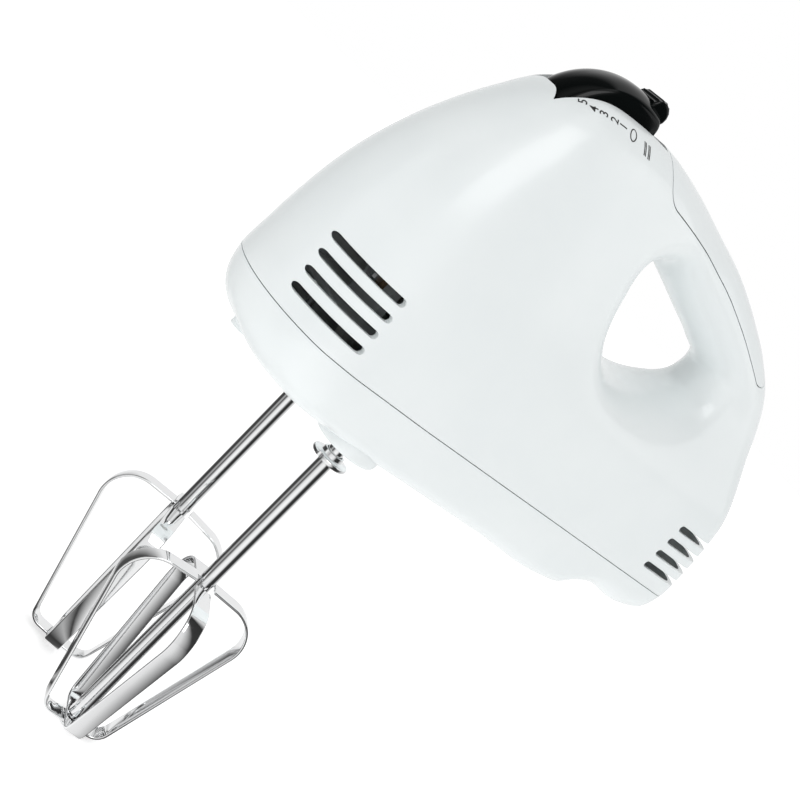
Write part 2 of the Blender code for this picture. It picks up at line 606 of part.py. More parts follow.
def build_worm(axis):
    """Motor shaft with a two-start thread; a valley of the thread faces each wheel at rest."""
    lead = math.pi * GEAR_MODULE * WORM_STARTS
    crest = WORM_RADIUS + TOOTH_ADDENDUM
    valley = WORM_RADIUS - TOOTH_DEDENDUM
    flank = math.tan(math.radians(20))
    half_thread = math.pi * GEAR_MODULE / 4 - TOOTH_CLEARANCE / 2
    crest_half = half_thread - flank * TOOTH_ADDENDUM
    valley_half = half_thread + flank * TOOTH_DEDENDUM
    pitch = math.pi * GEAR_MODULE
    sides = 12
    low, high = -WORM_LENGTH / 2, WORM_LENGTH / 2
    periods = range(-int(WORM_LENGTH / pitch) // 2 - 4, int(WORM_LENGTH / pitch) // 2 + 5)
    stations = []
    for period in periods:
        middle = (period + 0.5) * pitch
        stations += [(middle - valley_half, valley), (middle - crest_half, crest),
                     (middle + crest_half, crest), (middle + valley_half, valley)]
    skip = 4 * WORM_STARTS
    rings = []
    for k in range(sides):
        angle = 2 * math.pi * k / sides
        ring = []
        for x, radius in stations:
            shifted = x + lead * k / sides
            if shifted <= low or shifted >= high:
                shifted, radius = min(max(shifted, low), high), valley
            ring.append((shifted, radius * math.cos(angle), MOTOR_Z + radius * math.sin(angle)))
        rings.append(ring)
    count = len(stations)
    verts = sum(rings, [])
    faces = []
    for k in range(sides):
        after = (k + 1) % sides
        move = skip if after == 0 else 0
        for i in range(count - 1):
            if i + 1 + move < count:
                faces.append((k * count + i, k * count + i + 1,
                              after * count + i + 1 + move, after * count + i + move))
    faces.append(tuple(k * count for k in range(sides)))
    faces.append(tuple(k * count + count - 1 for k in range(sides)))
    worm = make("worm_shaft", verts, faces, STEEL, axis)
    shaft = [(2.5, -104), (3.0, -103), (3.0, -12), (4.5, -11.5), (4.5, 11.5), (3.0, 12), (3.0, 23), (2.5, 24)]
    join(worm, turned("motor_shaft", shaft, (0, 0, MOTOR_Z), "X", 12))
    return worm


def build_rotor(axis):
    bore = 3.4
    slots = 9
    outline = []
    for k in range(slots):
        middle = 2 * math.pi * k / slots
        for radius, share in ((8.0, 0.16), (12.2, 0.12), (13.8, 0.36)):
            outline.append((radius, middle - share * 2 * math.pi / slots))
        for radius, share in ((13.8, 0.36), (12.2, 0.12), (8.0, 0.16)):
            outline.append((radius, middle + share * 2 * math.pi / slots))
    points = [(r * math.cos(a), MOTOR_Z + r * math.sin(a)) for r, a in outline]
    core = prism("rotor_core", points, -56, -34, "X", LAMINATION, axis)
    cut(core, rod("rotor_core_bore", bore, -60, -30, (0, 0, MOTOR_Z), "X", 12))
    ends = [(bore, -63.5), (8.5, -63.5), (11.5, -60), (11.5, -56.3), (bore, -56.3)]
    turned("rotor_winding", ends, (0, 0, MOTOR_Z), "X", 16, COPPER, axis, ring=True)
    ends = [(bore, -33.7), (11.5, -33.7), (11.5, -30.5), (8.5, -27.5), (bore, -27.5)]
    turned("rotor_winding_front", ends, (0, 0, MOTOR_Z), "X", 16, COPPER, axis, ring=True)
    bars = []
    for k in range(slots):
        middle = 2 * math.pi * k / slots
        for radius, share in ((7.6, -0.46), (8.6, -0.42), (8.6, 0.42), (7.6, 0.46)):
            angle = middle + share * 2 * math.pi / slots
            bars.append((radius * math.cos(angle), MOTOR_Z + radius * math.sin(angle)))
    bars_object = prism("commutator", bars, -77, -65, "X", COPPER, axis)
    cut(bars_object, rod("commutator_bore", bore, -80, -60, (0, 0, MOTOR_Z), "X", 12))
    fan = tube("cooling_fan", 6.5, bore, -103, -92, (0, 0, MOTOR_Z), "X", 12, GREY, axis)
    join(fan, tube("fan_disc", 18.5, bore + 1, -94, -92.6, (0, 0, MOTOR_Z), "X", 20))
    for k in range(FAN_BLADES):
        blade = box(f"fan_blade_{k}", -102, -93.3, -0.7, 0.7, 5.5, 17.4)
        turn = Matrix.Rotation(2 * math.pi * k / FAN_BLADES, 4, "X") @ Matrix.Rotation(0.25, 4, "Z")
        blade.data.transform(Matrix.Translation((0, 0, MOTOR_Z * MM)) @ turn_about(turn, -97.5))
        join(fan, blade)


def turn_about(turn, x):
    shift = Matrix.Translation((x * MM, 0, 0))
    return shift @ turn @ shift.inverted()


def build_stator():
    outline = [(-26, -17), (-21, -22), (21, -22), (26, -17), (26, 17), (21, 22), (-21, 22), (-26, 17)]
    core = prism("stator_core", [(y, MOTOR_Z + z) for y, z in outline], -56, -34, "X", LAMINATION)
    cut(core, rod("stator_bore", 14.6, -60, -30, (0, 0, MOTOR_Z), "X", 32))
    for word, side in SIDES:
        for level in (1, -1):
            low, high = sorted((MOTOR_Z + level * 9.4, MOTOR_Z + level * 16.5))
            window = f"coil_window_{word}_{'top' if level > 0 else 'low'}"
            cut(core, box(window, -60, -30, *sorted((side * 8.0, side * 21.6)), low, high))
        name = f"field_coil_{word}"
        outer = box(name, -62.3, -27.7, *sorted((side * 15.4, side * 21.0)),
                    MOTOR_Z - 15.9, MOTOR_Z + 15.9, COPPER)
        cut(outer, box(name + "_window", -56.9, -33.1, *sorted((side * 10, side * 30)),
                       MOTOR_Z - 10.0, MOTOR_Z + 10.0))
        soften = outer.modifiers.new("rounded_edges", "BEVEL")
        soften.width = 1.2 * MM
        soften.segments = 1
    return core


def build_brushes():
    low, high = MOTOR_Z - 3.8, MOTOR_Z + 3.8
    for word, side in SIDES:
        holder = box(f"brush_holder_{word}", -75, -67, *sorted((side * 12.5, side * 28)),
                     low - 1.2, high + 1.2, BRASS)
        cut(holder, box(f"holder_room_{word}", -73.8, -68.2, *sorted((side * 10, side * 27)), low, high))
        box(f"carbon_brush_{word}", -73.4, -68.6, *sorted((side * 9.0, side * 18.0)),
            low + 0.4, high - 0.4, CARBON)
        span = sorted((side * 18.8, side * 26.2))
        coil(f"brush_spring_{word}", 2.2, 0.35, 3, *span, (-71, 0, MOTOR_Z), "Y", 6)


def build_bracket():
    """Chassis: a plate under the wheels with two uprights that carry the front and middle bearings."""
    half = [(-29, 7), (-24, 13), (-24, 25), (-16, 31), (24, 31), (36, 20)]
    outline = half + [(x, -y) for x, y in reversed(half)]
    bracket = prism("gear_bracket", outline, 28.8, 31.0, "Z", GREY)
    join(bracket, box("front_upright", 16.5, 19.5, -11, 11, 30, 53))
    join(bracket, box("rear_upright", -19.5, -16.5, -11, 11, 30, 53))
    cut(bracket, rod("front_upright_bore", 5.3, 10, 25, (0, 0, MOTOR_Z), "X", 14))
    cut(bracket, rod("rear_upright_bore", 5.3, -25, -10, (0, 0, MOTOR_Z), "X", 14))
    seat_low = EJECT_SPRING_SEAT - 4
    join(bracket, rod("spring_seat", 4.2, seat_low, EJECT_SPRING_SEAT, (SPRING_X, 0, 0), sides=10))
    for word, y in (("left", SOCKET_Y), ("right", -SOCKET_Y)):
        cut(bracket, rod(f"hub_clearance_{word}", 5.5, 20, 40, (0, y, 0), sides=14))
    for name, x in (("front", BRACKET_SCREW_X[0]), ("rear", BRACKET_SCREW_X[1])):
        cut(bracket, rod(f"bracket_screw_hole_{name}", 1.8, 20, 40, (x, 0, 0), sides=12))
        profile = [(0.3, 18), (1.3, 19.5), (1.3, 31.3), (2.9, 31.3), (2.9, 32.5), (2.0, 33.1)]
        screw = turned(f"bracket_screw_{name}", profile, (x, 0, 0), sides=12, spec=STEEL)
        cut(screw, box(f"bracket_screw_recess_{name}", x - 1.3, x + 1.3, -0.35, 0.35, 32.4, 34))
    tube("front_bearing", 5.0, 3.2, 15.5, 20.5, (0, 0, MOTOR_Z), "X", 14, BRONZE)
    tube("middle_bearing", 5.0, 3.2, -20.5, -15.5, (0, 0, MOTOR_Z), "X", 14, BRONZE)
    outline = [(-26, -20.5), (26, -20.5), (28, -12), (28, 6), (20, 16), (-20, 16), (-28, 6), (-28, -12)]
    corners = [(y, MOTOR_Z + z) for y, z in outline]
    plate = prism("rear_bearing_plate", corners, -89.5, -87.5, "X", GREY)
    cut(plate, rod("rear_plate_bore", 5.3, -95, -80, (0, 0, MOTOR_Z), "X", 14))
    for word, y in (("left", 17.0), ("right", -17.0)):
        cut(plate, rod(f"rear_plate_window_{word}", 7.0, -95, -80, (0, y, MOTOR_Z), "X", 16))
    tube("rear_bearing", 5.0, 3.2, -91, -86, (0, 0, MOTOR_Z), "X", 14, BRONZE)


# ---------------------------------------------------------------- ejector
def build_eject_bar(axis):
    """Cross bar over both pins, an arm to the rear and the post that the switch's skirt pushes down."""
    low, high = EJECT_BAR_Z
    bar = box("eject_bar", -5, 5, -25, 25, low, high, ACETAL, axis)
    join(bar, box("eject_arm", EJECT_POST_X[0], -2, -4, 4, low, high))
    join(bar, box("eject_post", *EJECT_POST_X, -4, 4, low + 1, SWITCH_Z + 1.9))
    cut(bar, box("eject_arm_window", -16, -8, -2.2, 2.2, low - 5, high + 5))


def build_eject_spring():
    low = EJECT_SPRING_SEAT + GAP
    coil("eject_spring", 2.6, 0.4, 4, low + 0.4, EJECT_BAR_Z[0] - 0.7, (SPRING_X, 0, 0), "Z", 6)


def build_ejector_pin(word, y, axis):
    profile = [(2.1, 30.3), (2.5, 30.8), (2.5, 62.0), (4.6, 62.0), (4.6, 66.2), (3.8, 67.0)]
    turned(f"ejector_pin_{word}", profile, (0, y, 0), sides=16, spec=ACETAL, parent=axis)


# ---------------------------------------------------------------- beaters
def arc_points(centre, radius, start, end, steps):
    """Points on an arc, as (radial, height); angles in degrees from the outward direction."""
    angles = [math.radians(start + (end - start) * k / steps) for k in range(steps + 1)]
    return [(centre[0] + radius * math.cos(a), centre[1] + radius * math.sin(a)) for a in angles]


def blade_line(top, bottom, radius):
    """Half of the strap's middle line, from the rod at the top to the middle of the foot."""
    shoulder = 12.0
    slant = 18.0
    foot = 5.0
    line = [(SHAFT_RADIUS + 0.9, top + 0.6)]
    line += arc_points((radius - shoulder, top - shoulder), shoulder, 84, -slant, 4)
    line += arc_points((BLADE_FOOT - foot, bottom + foot), foot, -slant, -90, 2)
    line.append((0.0, bottom))
    return line


def build_strap(name, y, angle, top, bottom, radius, axis):
    """Flat strap bent into a closed loop and swept at one azimuth; the rod's tip passes its foot."""
    half = blade_line(top, bottom, radius)
    line = half + [(-r, z) for r, z in reversed(half[:-1])]
    points = np.array(line)
    along = np.gradient(points, axis=0)
    along /= np.linalg.norm(along, axis=1)[:, None]
    normal = np.stack([-along[:, 1], along[:, 0]], -1) * STRAP_THICKNESS / 2
    turn = math.radians(angle)
    outward = np.array([math.cos(turn), math.sin(turn), 0])
    sideways = np.array([-math.sin(turn), math.cos(turn), 0]) * STRAP_WIDTH / 2
    verts = []
    for point, shift in zip(points, normal):
        for side, edge in ((1, 1), (1, -1), (-1, -1), (-1, 1)):
            radial, height = point + side * shift
            place_at = outward * radial + sideways * edge + np.array([0, y, height])
            verts.append(tuple(place_at))
    last = len(line) - 1
    faces = [(0, 1, 2, 3), tuple(range(last * 4, last * 4 + 4))]
    for row in range(last):
        for k in range(4):
            step = (k + 1) % 4
            faces.append((row * 4 + k, row * 4 + step, (row + 1) * 4 + step, (row + 1) * 4 + k))
    strap = make(name, verts, faces, CHROME, axis)
    cut(strap, rod(name + "_hole", 2.0, bottom - 3, bottom + 3, (0, y, 0), sides=12))
    return strap


def build_beater(word, y, angle, axis):
    tip = BLADE_BOTTOM + 2.6
    profile = [(1.5, -136.4), (1.5, tip), (SHAFT_RADIUS, tip), (SHAFT_RADIUS, SHAFT_TOP - 1.2),
               (1.8, SHAFT_TOP)]
    turned(f"beater_shaft_{word}", profile, (0, y, 0), sides=14, spec=CHROME, parent=axis)
    build_strap(f"beater_strap_outer_{word}", y, angle, BLADE_TOP + 1.5, BLADE_BOTTOM - 0.3, BLADE_RADIUS, axis)
    build_strap(f"beater_strap_inner_{word}", y, angle + 90, BLADE_TOP, BLADE_BOTTOM + 1.3, BLADE_RADIUS, axis)
    low = BLADE_BOTTOM - 1.1
    cap = [(1.8, low), (3.6, low), (3.6, low - 0.7), (2.8, low - 1.3), (1.8, low - 1.3)]
    turned(f"beater_rivet_{word}", cap, (0, y, 0), sides=16, spec=CHROME, parent=axis, ring=True)


def build_collar(axis):
    """Disc with two notches that keeps the left beater out of the right socket."""
    y = SOCKET_Y
    inner = SHAFT_RADIUS + GAP
    profile = [(inner, COLLAR_Z - 0.8), (6.6, COLLAR_Z - 0.8), (6.9, COLLAR_Z), (6.6, COLLAR_Z + 0.8),
               (4.0, COLLAR_Z + 0.9), (3.9, COLLAR_Z + 2.6), (inner, COLLAR_Z + 2.6)]
    collar = turned("beater_collar_left", profile, (0, y, 0), sides=20, spec=CHROME, parent=axis, ring=True)
    for number, side in enumerate((1, -1)):
        angle = math.radians(LEFT_BLADE_ANGLE + 45)
        x, dy = side * 7.4 * math.cos(angle), side * 7.4 * math.sin(angle)
        cut(collar, rod(f"collar_notch_{number}", 1.5, COLLAR_Z - 3, COLLAR_Z + 3, (x, y + dy, 0), sides=8))


def build_sockets():
    for word, y in (("left", SOCKET_Y), ("right", -SOCKET_Y)):
        profile = [(5.3, -2.2), (7.5, -2.2), (7.5, 6.4), (9.4, 6.4), (9.4, 8.2), (5.3, 8.2)]
        turned(f"socket_bush_{word}", profile, (0, y, 0), sides=16, spec=GREY, ring=True)


def build_inlet():
    """Bush of the mains lead at the heel: flange outside, groove in the wall, collar inside."""
    profile = [(3.4, -139.0), (7.2, -139.0), (7.2, -141.9), (5.0, -141.9), (5.0, -147.4), (7.2, -147.4),
               (6.4, -150.0), (3.4, -150.0)]
    turned("cord_inlet", profile, (0, 0, INLET_Z), "X", 16, RUBBER, ring=True)


def main():
    clear_scene()
    build_upper_housing()
    build_handle_cover()
    build_lower_housing()
    build_screws()
    build_switch(axis_empty("switch_axis", SWITCH_X, 0, SWITCH_Z))
    build_switch_frame()
    motor = axis_empty("motor_axis", 0, 0, MOTOR_Z)
    build_worm(motor)
    build_rotor(motor)
    build_stator()
    build_brushes()
    build_bracket()
    build_sockets()
    build_inlet()
    build_eject_bar(axis_empty("eject_axis", 0, 0, EJECT_BAR_Z[0]))
    build_eject_spring()
    sides = (("left", SOCKET_Y, -90, LEFT_BLADE_ANGLE), ("right", -SOCKET_Y, 90, RIGHT_BLADE_ANGLE))
    for word, y, facing, blade_angle in sides:
        axis = axis_empty(f"spindle_axis_{word}", 0, y, 0)
        worm_wheel(f"spindle_gear_{word}", y, math.radians(facing), axis)
        build_ejector_pin(word, y, axis)
        build_beater(word, y, blade_angle, axis)
        if word == "left":
            build_collar(axis)


main()
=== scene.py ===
"""Looks of the hand mixer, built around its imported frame.

Fine moulded shells, switch, beaters and printed scale stand for the plain CAD nodes, every piece
gets a procedural material, and the inner parts keep their CAD meshes. Lengths below are in
millimetres in the frame's own axes and become metres when a mesh is made.
"""
import json
import math

import bmesh
import bpy
import numpy as np
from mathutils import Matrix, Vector
from mathutils.bvhtree import BVHTree


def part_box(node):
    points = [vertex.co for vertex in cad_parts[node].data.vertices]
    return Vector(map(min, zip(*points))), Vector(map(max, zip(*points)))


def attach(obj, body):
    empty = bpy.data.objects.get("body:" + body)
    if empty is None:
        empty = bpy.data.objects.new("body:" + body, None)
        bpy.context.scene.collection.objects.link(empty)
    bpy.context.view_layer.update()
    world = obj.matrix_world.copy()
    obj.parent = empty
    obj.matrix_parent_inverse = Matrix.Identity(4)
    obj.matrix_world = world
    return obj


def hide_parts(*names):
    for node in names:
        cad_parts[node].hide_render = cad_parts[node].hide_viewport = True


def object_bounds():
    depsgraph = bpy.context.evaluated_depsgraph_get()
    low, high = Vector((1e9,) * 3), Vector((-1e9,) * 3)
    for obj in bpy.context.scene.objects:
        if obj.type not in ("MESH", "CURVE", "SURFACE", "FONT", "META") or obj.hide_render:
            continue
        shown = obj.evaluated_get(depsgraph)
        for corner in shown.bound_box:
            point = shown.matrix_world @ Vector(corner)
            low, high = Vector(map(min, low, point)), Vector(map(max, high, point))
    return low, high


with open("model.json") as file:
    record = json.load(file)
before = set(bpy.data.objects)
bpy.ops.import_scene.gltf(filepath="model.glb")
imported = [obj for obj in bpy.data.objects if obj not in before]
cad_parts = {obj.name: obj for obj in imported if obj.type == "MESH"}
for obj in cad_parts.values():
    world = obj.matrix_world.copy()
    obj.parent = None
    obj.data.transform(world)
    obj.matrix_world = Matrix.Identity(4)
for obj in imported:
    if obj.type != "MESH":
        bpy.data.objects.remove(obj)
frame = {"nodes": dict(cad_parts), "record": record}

MM = 0.001
CAD_BOUNDS = [list(corner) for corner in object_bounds()]

# ---------------------------------------------------------------- sizes shared with the frame (mm)
SEAM_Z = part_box("upper_housing")[0].z / MM - 0.15
SEAM_GAP = 0.32
WALL = 2.2
STEP_Z = 8.0
SOCKET_Y = (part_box("beater_shaft_left")[0].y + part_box("beater_shaft_left")[1].y) / 2 / MM
INLET_Z = (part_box("cord_inlet")[0].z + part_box("cord_inlet")[1].z) / 2 / MM
SHAFT_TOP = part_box("beater_shaft_left")[1].z / MM
SHAFT_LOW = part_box("beater_shaft_left")[0].z / MM

OUTLINE = [
    (57.6, 19, 34, 0.02), (57.0, 34, 34, 0.02), (55.6, 50, 34, 0.02), (52.9, 66, 33, 0.02),
    (48.4, 81, 31, 0.02), (41.6, 96, 27, 0.02), (33.6, 109, 22, 0.03), (24.5, 120, 15, 0.12),
    (13.0, 126.8, 11, 0.35), (-3.0, 130.0, 11, 0.40), (-22.0, 131.0, 12, 0.25), (-40.0, 129.3, 14, 0.08),
    (-60.0, 125.3, 15, 0.05), (-79.0, 121.0, 15, 0.05), (-97.0, 114.8, 15, 0.05), (-113.5, 107.6, 15, 0.05),
    (-127.0, 99.0, 15, 0.08), (-135.5, 89.0, 15, 0.15), (-140.8, 77.0, 15, 0.25), (-144.3, 64.0, 14, 0.38),
    (-146.6, 48.0, 13, 0.48), (-147.6, 32.0, 12, 0.55), (-146.8, 19.0, 10, 0.60), (-142.5, 10.8, 9, 0.65),
    (-133.0, STEP_Z, 8, 0.72), (-112.0, STEP_Z, 7, 0.74), (-106.5, 5.6, 6, 0.74), (-102.0, 1.2, 6, 0.74),
    (-96.0, 0.0, 6, 0.74), (-60.0, 0.0, 6, 0.74), (-25.0, 0.0, 6, 0.74), (8.0, 0.0, 7, 0.72),
    (31.0, 0.6, 10, 0.55), (46.0, 4.0, 20, 0.28), (54.5, 10.5, 30, 0.08)]
OPENING = [
    (-40.5, 101), (-41.5, 90), (-46.0, 79), (-54.5, 71.5), (-67.0, 69.0), (-80.0, 70.5), (-91.0, 75.5),
    (-98.0, 82.5), (-97.5, 89.0), (-88.0, 93.5), (-73.0, 98.0), (-58.0, 102.5), (-47.0, 105.5)]
OPENING_ROUNDING = 12.0
OPENING_CENTRE = (-72.0, 87.0)
OPENING_SQUASH = 1.5
HALF_WIDTHS = [(0, 33.5), (9, 36.8), (21, 38), (40, 37.5), (58, 35.5), (76, 31.5), (92, 27.5), (108, 23.5),
               (120, 20), (131, 17)]
TAPER_START = -5.0
TAPER_RATE = 0.00150
GRIP_HALF_WIDTH = 14.5

SLOT_HEIGHT = 2.7
SLOTS = [([28.3, 34.3, 40.3, 46.3], (29.5, 52.5), 11.0), ([28.2, 34.0, 39.8, 45.6], (-160.0, -121.0), 13.0)]
COVER = [(-18.0, 140), (-18.0, 129.5), (-24.0, 119.8), (-40.0, 118.6), (-53.0, 117.3), (-73.0, 113.4),
         (-92.0, 107.3), (-105.4, 102.0), (-114.0, 98.5), (-118.5, 99.3), (-119.6, 102), (-119.0, 140)]
SCREWS = [(43.0, 0, 1.5), (-129.0, 0, 9.0), (-74.0, 22.0, 1), (-74.0, -22.0, 1)]

SWITCH_X = -2.0
SWITCH_Z = 109.0
SWITCH_RADIUS = 28.4
SWITCH_HALF_WIDTH = 9.4
SWITCH_OPENING_BACK = 14.8
SWITCH_BACK = -82.0
SWITCH_STEP = (-19.0, -12.0)
SWITCH_FRONT = 80.0
SKIRT_RADIUS = 22.0
KNOB_ANGLE = -10.5
KNOB_REACH = 27.2
KNOB_RADIUS = 4.3

SHAFT_RADIUS = 2.8
BLADE_TOP = -69.0
BLADE_BOTTOM = -134.0
BLADE_RADIUS = 24.5
BLADE_FOOT = 12.5
STRAP_WIDTH = 6.4
STRAP_THICKNESS = 1.0
COLLAR_Z = -8.8
BLADE_ANGLES = {"left": -15.0, "right": -30.0}
SIDES = (("left", 1), ("right", -1))

# ---------------------------------------------------------------- camera
CAMERA_AT = (0.2442, 0.3616, 0.1040)
CAMERA_TURN = (74.2143, -43.8112, 155.0870)
CAMERA_LENS = 62.46


# ---------------------------------------------------------------- procedural materials
class Nodes:
    """A new material's node tree, with short calls for the nodes that every finish here uses."""

    def __init__(self, name):
        self.material = bpy.data.materials.new(name)
        self.material.use_nodes = True
        self.tree = self.material.node_tree
        self.shader = self.tree.nodes["Principled BSDF"]
        self.place = self.add("ShaderNodeTexCoord").outputs["Object"]

    def add(self, kind, **settings):
        node = self.tree.nodes.new(kind)
        for key, value in settings.items():
            setattr(node, key, value)
        return node

    def set(self, **values):
        for key, value in values.items():
            self.shader.inputs[key.replace("_", " ")].default_value = value

    def noise(self, scale, detail=3.0, stretch=(1, 1, 1)):
        mapping = self.add("ShaderNodeMapping")
        mapping.inputs["Scale"].default_value = stretch
        self.tree.links.new(self.place, mapping.inputs["Vector"])
        noise = self.add("ShaderNodeTexNoise")
        noise.inputs["Scale"].default_value = scale
        noise.inputs["Detail"].default_value = detail
        self.tree.links.new(mapping.outputs["Vector"], noise.inputs["Vector"])
        return noise.outputs["Fac"]

    def spread(self, source, low, high, start=0.35, end=0.65):
        remap = self.add("ShaderNodeMapRange")
        for key, value in (("From Min", start), ("From Max", end), ("To Min", low), ("To Max", high)):
            remap.inputs[key].default_value = value
        self.tree.links.new(source, remap.inputs["Value"])
        return remap.outputs["Result"]

    def colours(self, source, first, second, start=0.35, end=0.65):
        ramp = self.add("ShaderNodeValToRGB")
        ramp.color_ramp.elements[0].position = start
        ramp.color_ramp.elements[0].color = (*first, 1)
        ramp.color_ramp.elements[1].position = end
        ramp.color_ramp.elements[1].color = (*second, 1)
        self.tree.links.new(source, ramp.inputs["Fac"])
        self.tree.links.new(ramp.outputs["Color"], self.shader.inputs["Base Color"])

    def roughness(self, source, low, high):
        self.tree.links.new(self.spread(source, low, high), self.shader.inputs["Roughness"])

    def bump(self, source, height, strength=1.0):
        bump = self.add("ShaderNodeBump")
        bump.inputs["Strength"].default_value = strength
        bump.inputs["Distance"].default_value = height
        self.tree.links.new(source, bump.inputs["Height"])
        self.tree.links.new(bump.outputs["Normal"], self.shader.inputs["Normal"])


def plastic(name, light, dark, low, high, wave=0.00002, shine=0.5):
    """Moulded plastic: faint cloudiness in colour and gloss, and the slight waviness of a moulded skin."""
    nodes = Nodes(name)
    nodes.colours(nodes.noise(28, 4), dark, light)
    nodes.roughness(nodes.noise(60, 5), low, high)
    nodes.bump(nodes.noise(180, 2), wave)
    nodes.set(Specular_IOR_Level=shine)
    return nodes.material


def metal(name, light, dark, low, high, grain=(1, 1, 1), scale=400, height=0.000004):
    """Metal: a fine directional grain in the gloss, with slow changes of tone."""
    nodes = Nodes(name)
    nodes.colours(nodes.noise(40, 3), dark, light)
    nodes.roughness(nodes.noise(scale, 3, grain), low, high)
    nodes.bump(nodes.noise(scale, 2, grain), height)
    nodes.set(Metallic=1.0)
    return nodes.material


def layered(name, light, dark, low, high, axis_scale):
    """Stacked or wound metal: fine bands across one axis in colour and in relief."""
    nodes = Nodes(name)
    mapping = nodes.add("ShaderNodeMapping")
    mapping.inputs["Scale"].default_value = axis_scale
    nodes.tree.links.new(nodes.place, mapping.inputs["Vector"])
    wave = nodes.add("ShaderNodeTexWave", bands_direction="X")
    wave.inputs["Scale"].default_value = 1.0
    wave.inputs["Distortion"].default_value = 0.6
    nodes.tree.links.new(mapping.outputs["Vector"], wave.inputs["Vector"])
    nodes.colours(wave.outputs["Fac"], dark, light, 0.1, 0.9)
    nodes.roughness(nodes.noise(90, 3), low, high)
    nodes.bump(wave.outputs["Fac"], 0.0001, 0.6)
    nodes.set(Metallic=1.0)
    return nodes.material


MATERIALS = {
    "white_shell": plastic("white_abs", (0.835, 0.872, 0.875), (0.81, 0.85, 0.855), 0.17, 0.23),
    "black_switch": plastic("black_abs", (0.003, 0.004, 0.004), (0.0015, 0.002, 0.002), 0.07, 0.12,
                            0.00001, 0.22),
    "chromed_steel": metal("chrome_plate", (0.93, 0.935, 0.94), (0.88, 0.885, 0.89), 0.035, 0.075),
    "plain_steel": metal("ground_steel", (0.58, 0.59, 0.60), (0.46, 0.47, 0.48), 0.25, 0.42, (0.2, 1, 1)),
    "laminations": layered("steel_stack", (0.36, 0.37, 0.38), (0.16, 0.165, 0.17), 0.35, 0.5, (1500, 1, 1)),
    "winding_copper": layered("copper_winding", (0.72, 0.33, 0.15), (0.36, 0.14, 0.06), 0.28, 0.4,
                              (1, 1, 1100)),
    "contact_brass": metal("rolled_brass", (0.76, 0.58, 0.27), (0.62, 0.45, 0.19), 0.24, 0.38, (1, 0.2, 1)),
    "carbon": plastic("pressed_carbon", (0.035, 0.035, 0.037), (0.015, 0.015, 0.016), 0.5, 0.7, 0.00006),
    "acetal": plastic("natural_acetal", (0.80, 0.80, 0.76), (0.72, 0.72, 0.68), 0.35, 0.48),
    "grey_nylon": plastic("filled_nylon", (0.62, 0.65, 0.66), (0.52, 0.55, 0.56), 0.4, 0.55, 0.00005),
    "bearing_bronze": metal("porous_bronze", (0.55, 0.40, 0.25), (0.33, 0.23, 0.14), 0.4, 0.6, scale=900),
    "board": plastic("phenolic_board", (0.34, 0.19, 0.09), (0.22, 0.12, 0.05), 0.45, 0.6, 0.00006),
    "soft_grey_rubber": plastic("matt_rubber", (0.22, 0.23, 0.24), (0.15, 0.16, 0.17), 0.6, 0.8, 0.00008),
    "ink": plastic("printing_ink", (0.012, 0.012, 0.012), (0.006, 0.006, 0.006), 0.3, 0.4),
}


def dress_frame():
    """Every CAD node takes the procedural finish of its own slot."""
    for part in frame["record"]["subparts"]:
        mesh = frame["nodes"][part["node"]].data
        mesh.materials.clear()
        mesh.materials.append(MATERIALS[part["material_slot"]])


# ---------------------------------------------------------------- mesh helpers (millimetres in)
def make(name, verts, faces, slot=None):
    mesh = bpy.data.meshes.new(name)
    mesh.from_pydata((np.asarray(verts, float) * MM).tolist(), [], faces)
    shape = bmesh.new()
    shape.from_mesh(mesh)
    bmesh.ops.recalc_face_normals(shape, faces=shape.faces)
    shape.to_mesh(mesh)
    shape.free()
    made = bpy.data.objects.new(name, mesh)
    bpy.context.scene.collection.objects.link(made)
    if slot:
        made.data.materials.append(MATERIALS[slot])
    return made


def smooth(piece, angle=32):
    piece.data.shade_smooth()
    piece.data.set_sharp_from_angle(angle=math.radians(angle))
    return piece


def settle(piece):
    """Turns the piece's modifiers into its mesh."""
    graph = bpy.context.evaluated_depsgraph_get()
    piece.data = bpy.data.meshes.new_from_object(piece.evaluated_get(graph))
    piece.modifiers.clear()


def combine(piece, tool, operation="DIFFERENCE", solver="MANIFOLD"):
    """One Boolean, applied at once; the tool is used up."""
    step = piece.modifiers.new(tool.name, "BOOLEAN")
    step.operation = operation
    step.solver = solver
    step.object = tool
    settle(piece)
    bpy.data.objects.remove(tool, do_unlink=True)


def publish(piece, slot, body, *nodes, angle=32):
    """Finishes a piece: shading, material, slot, body and the CAD nodes it stands for."""
    smooth(piece, angle)
    piece.data.materials.clear()
    piece.data.materials.append(MATERIALS[slot])
    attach(piece, body)
    if nodes:
        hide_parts(*nodes)
    return piece


def grid_faces(rows, columns, close_rows=False, close_columns=True):
    faces = []
    for row in range(rows if close_rows else rows - 1):
        after = (row + 1) % rows
        for k in range(columns if close_columns else columns - 1):
            step = (k + 1) % columns
            faces.append((row * columns + k, row * columns + step,
                          after * columns + step, after * columns + k))
    return faces


def capped_grid(rows, size):
    """A sleeve of closed rows with a face over its first and last row."""
    last = (rows - 1) * size
    return grid_faces(rows, size) + [tuple(range(size)), tuple(range(last, last + size))]


def box_data(x0, x1, y0, y1, z0, z1):
    verts = [(x, y, z) for x in (x0, x1) for y in (y0, y1) for z in (z0, z1)]
    faces = [(0, 1, 3, 2), (4, 6, 7, 5), (0, 4, 5, 1), (2, 3, 7, 6), (0, 2, 6, 4), (1, 5, 7, 3)]
    return verts, faces


def box(name, *sides):
    return make(name, *box_data(*sides))


def place(axis, along, first, second):
    if axis == "X":
        return (along, first, second)
    if axis == "Y":
        return (second, along, first)
    return (first, second, along)


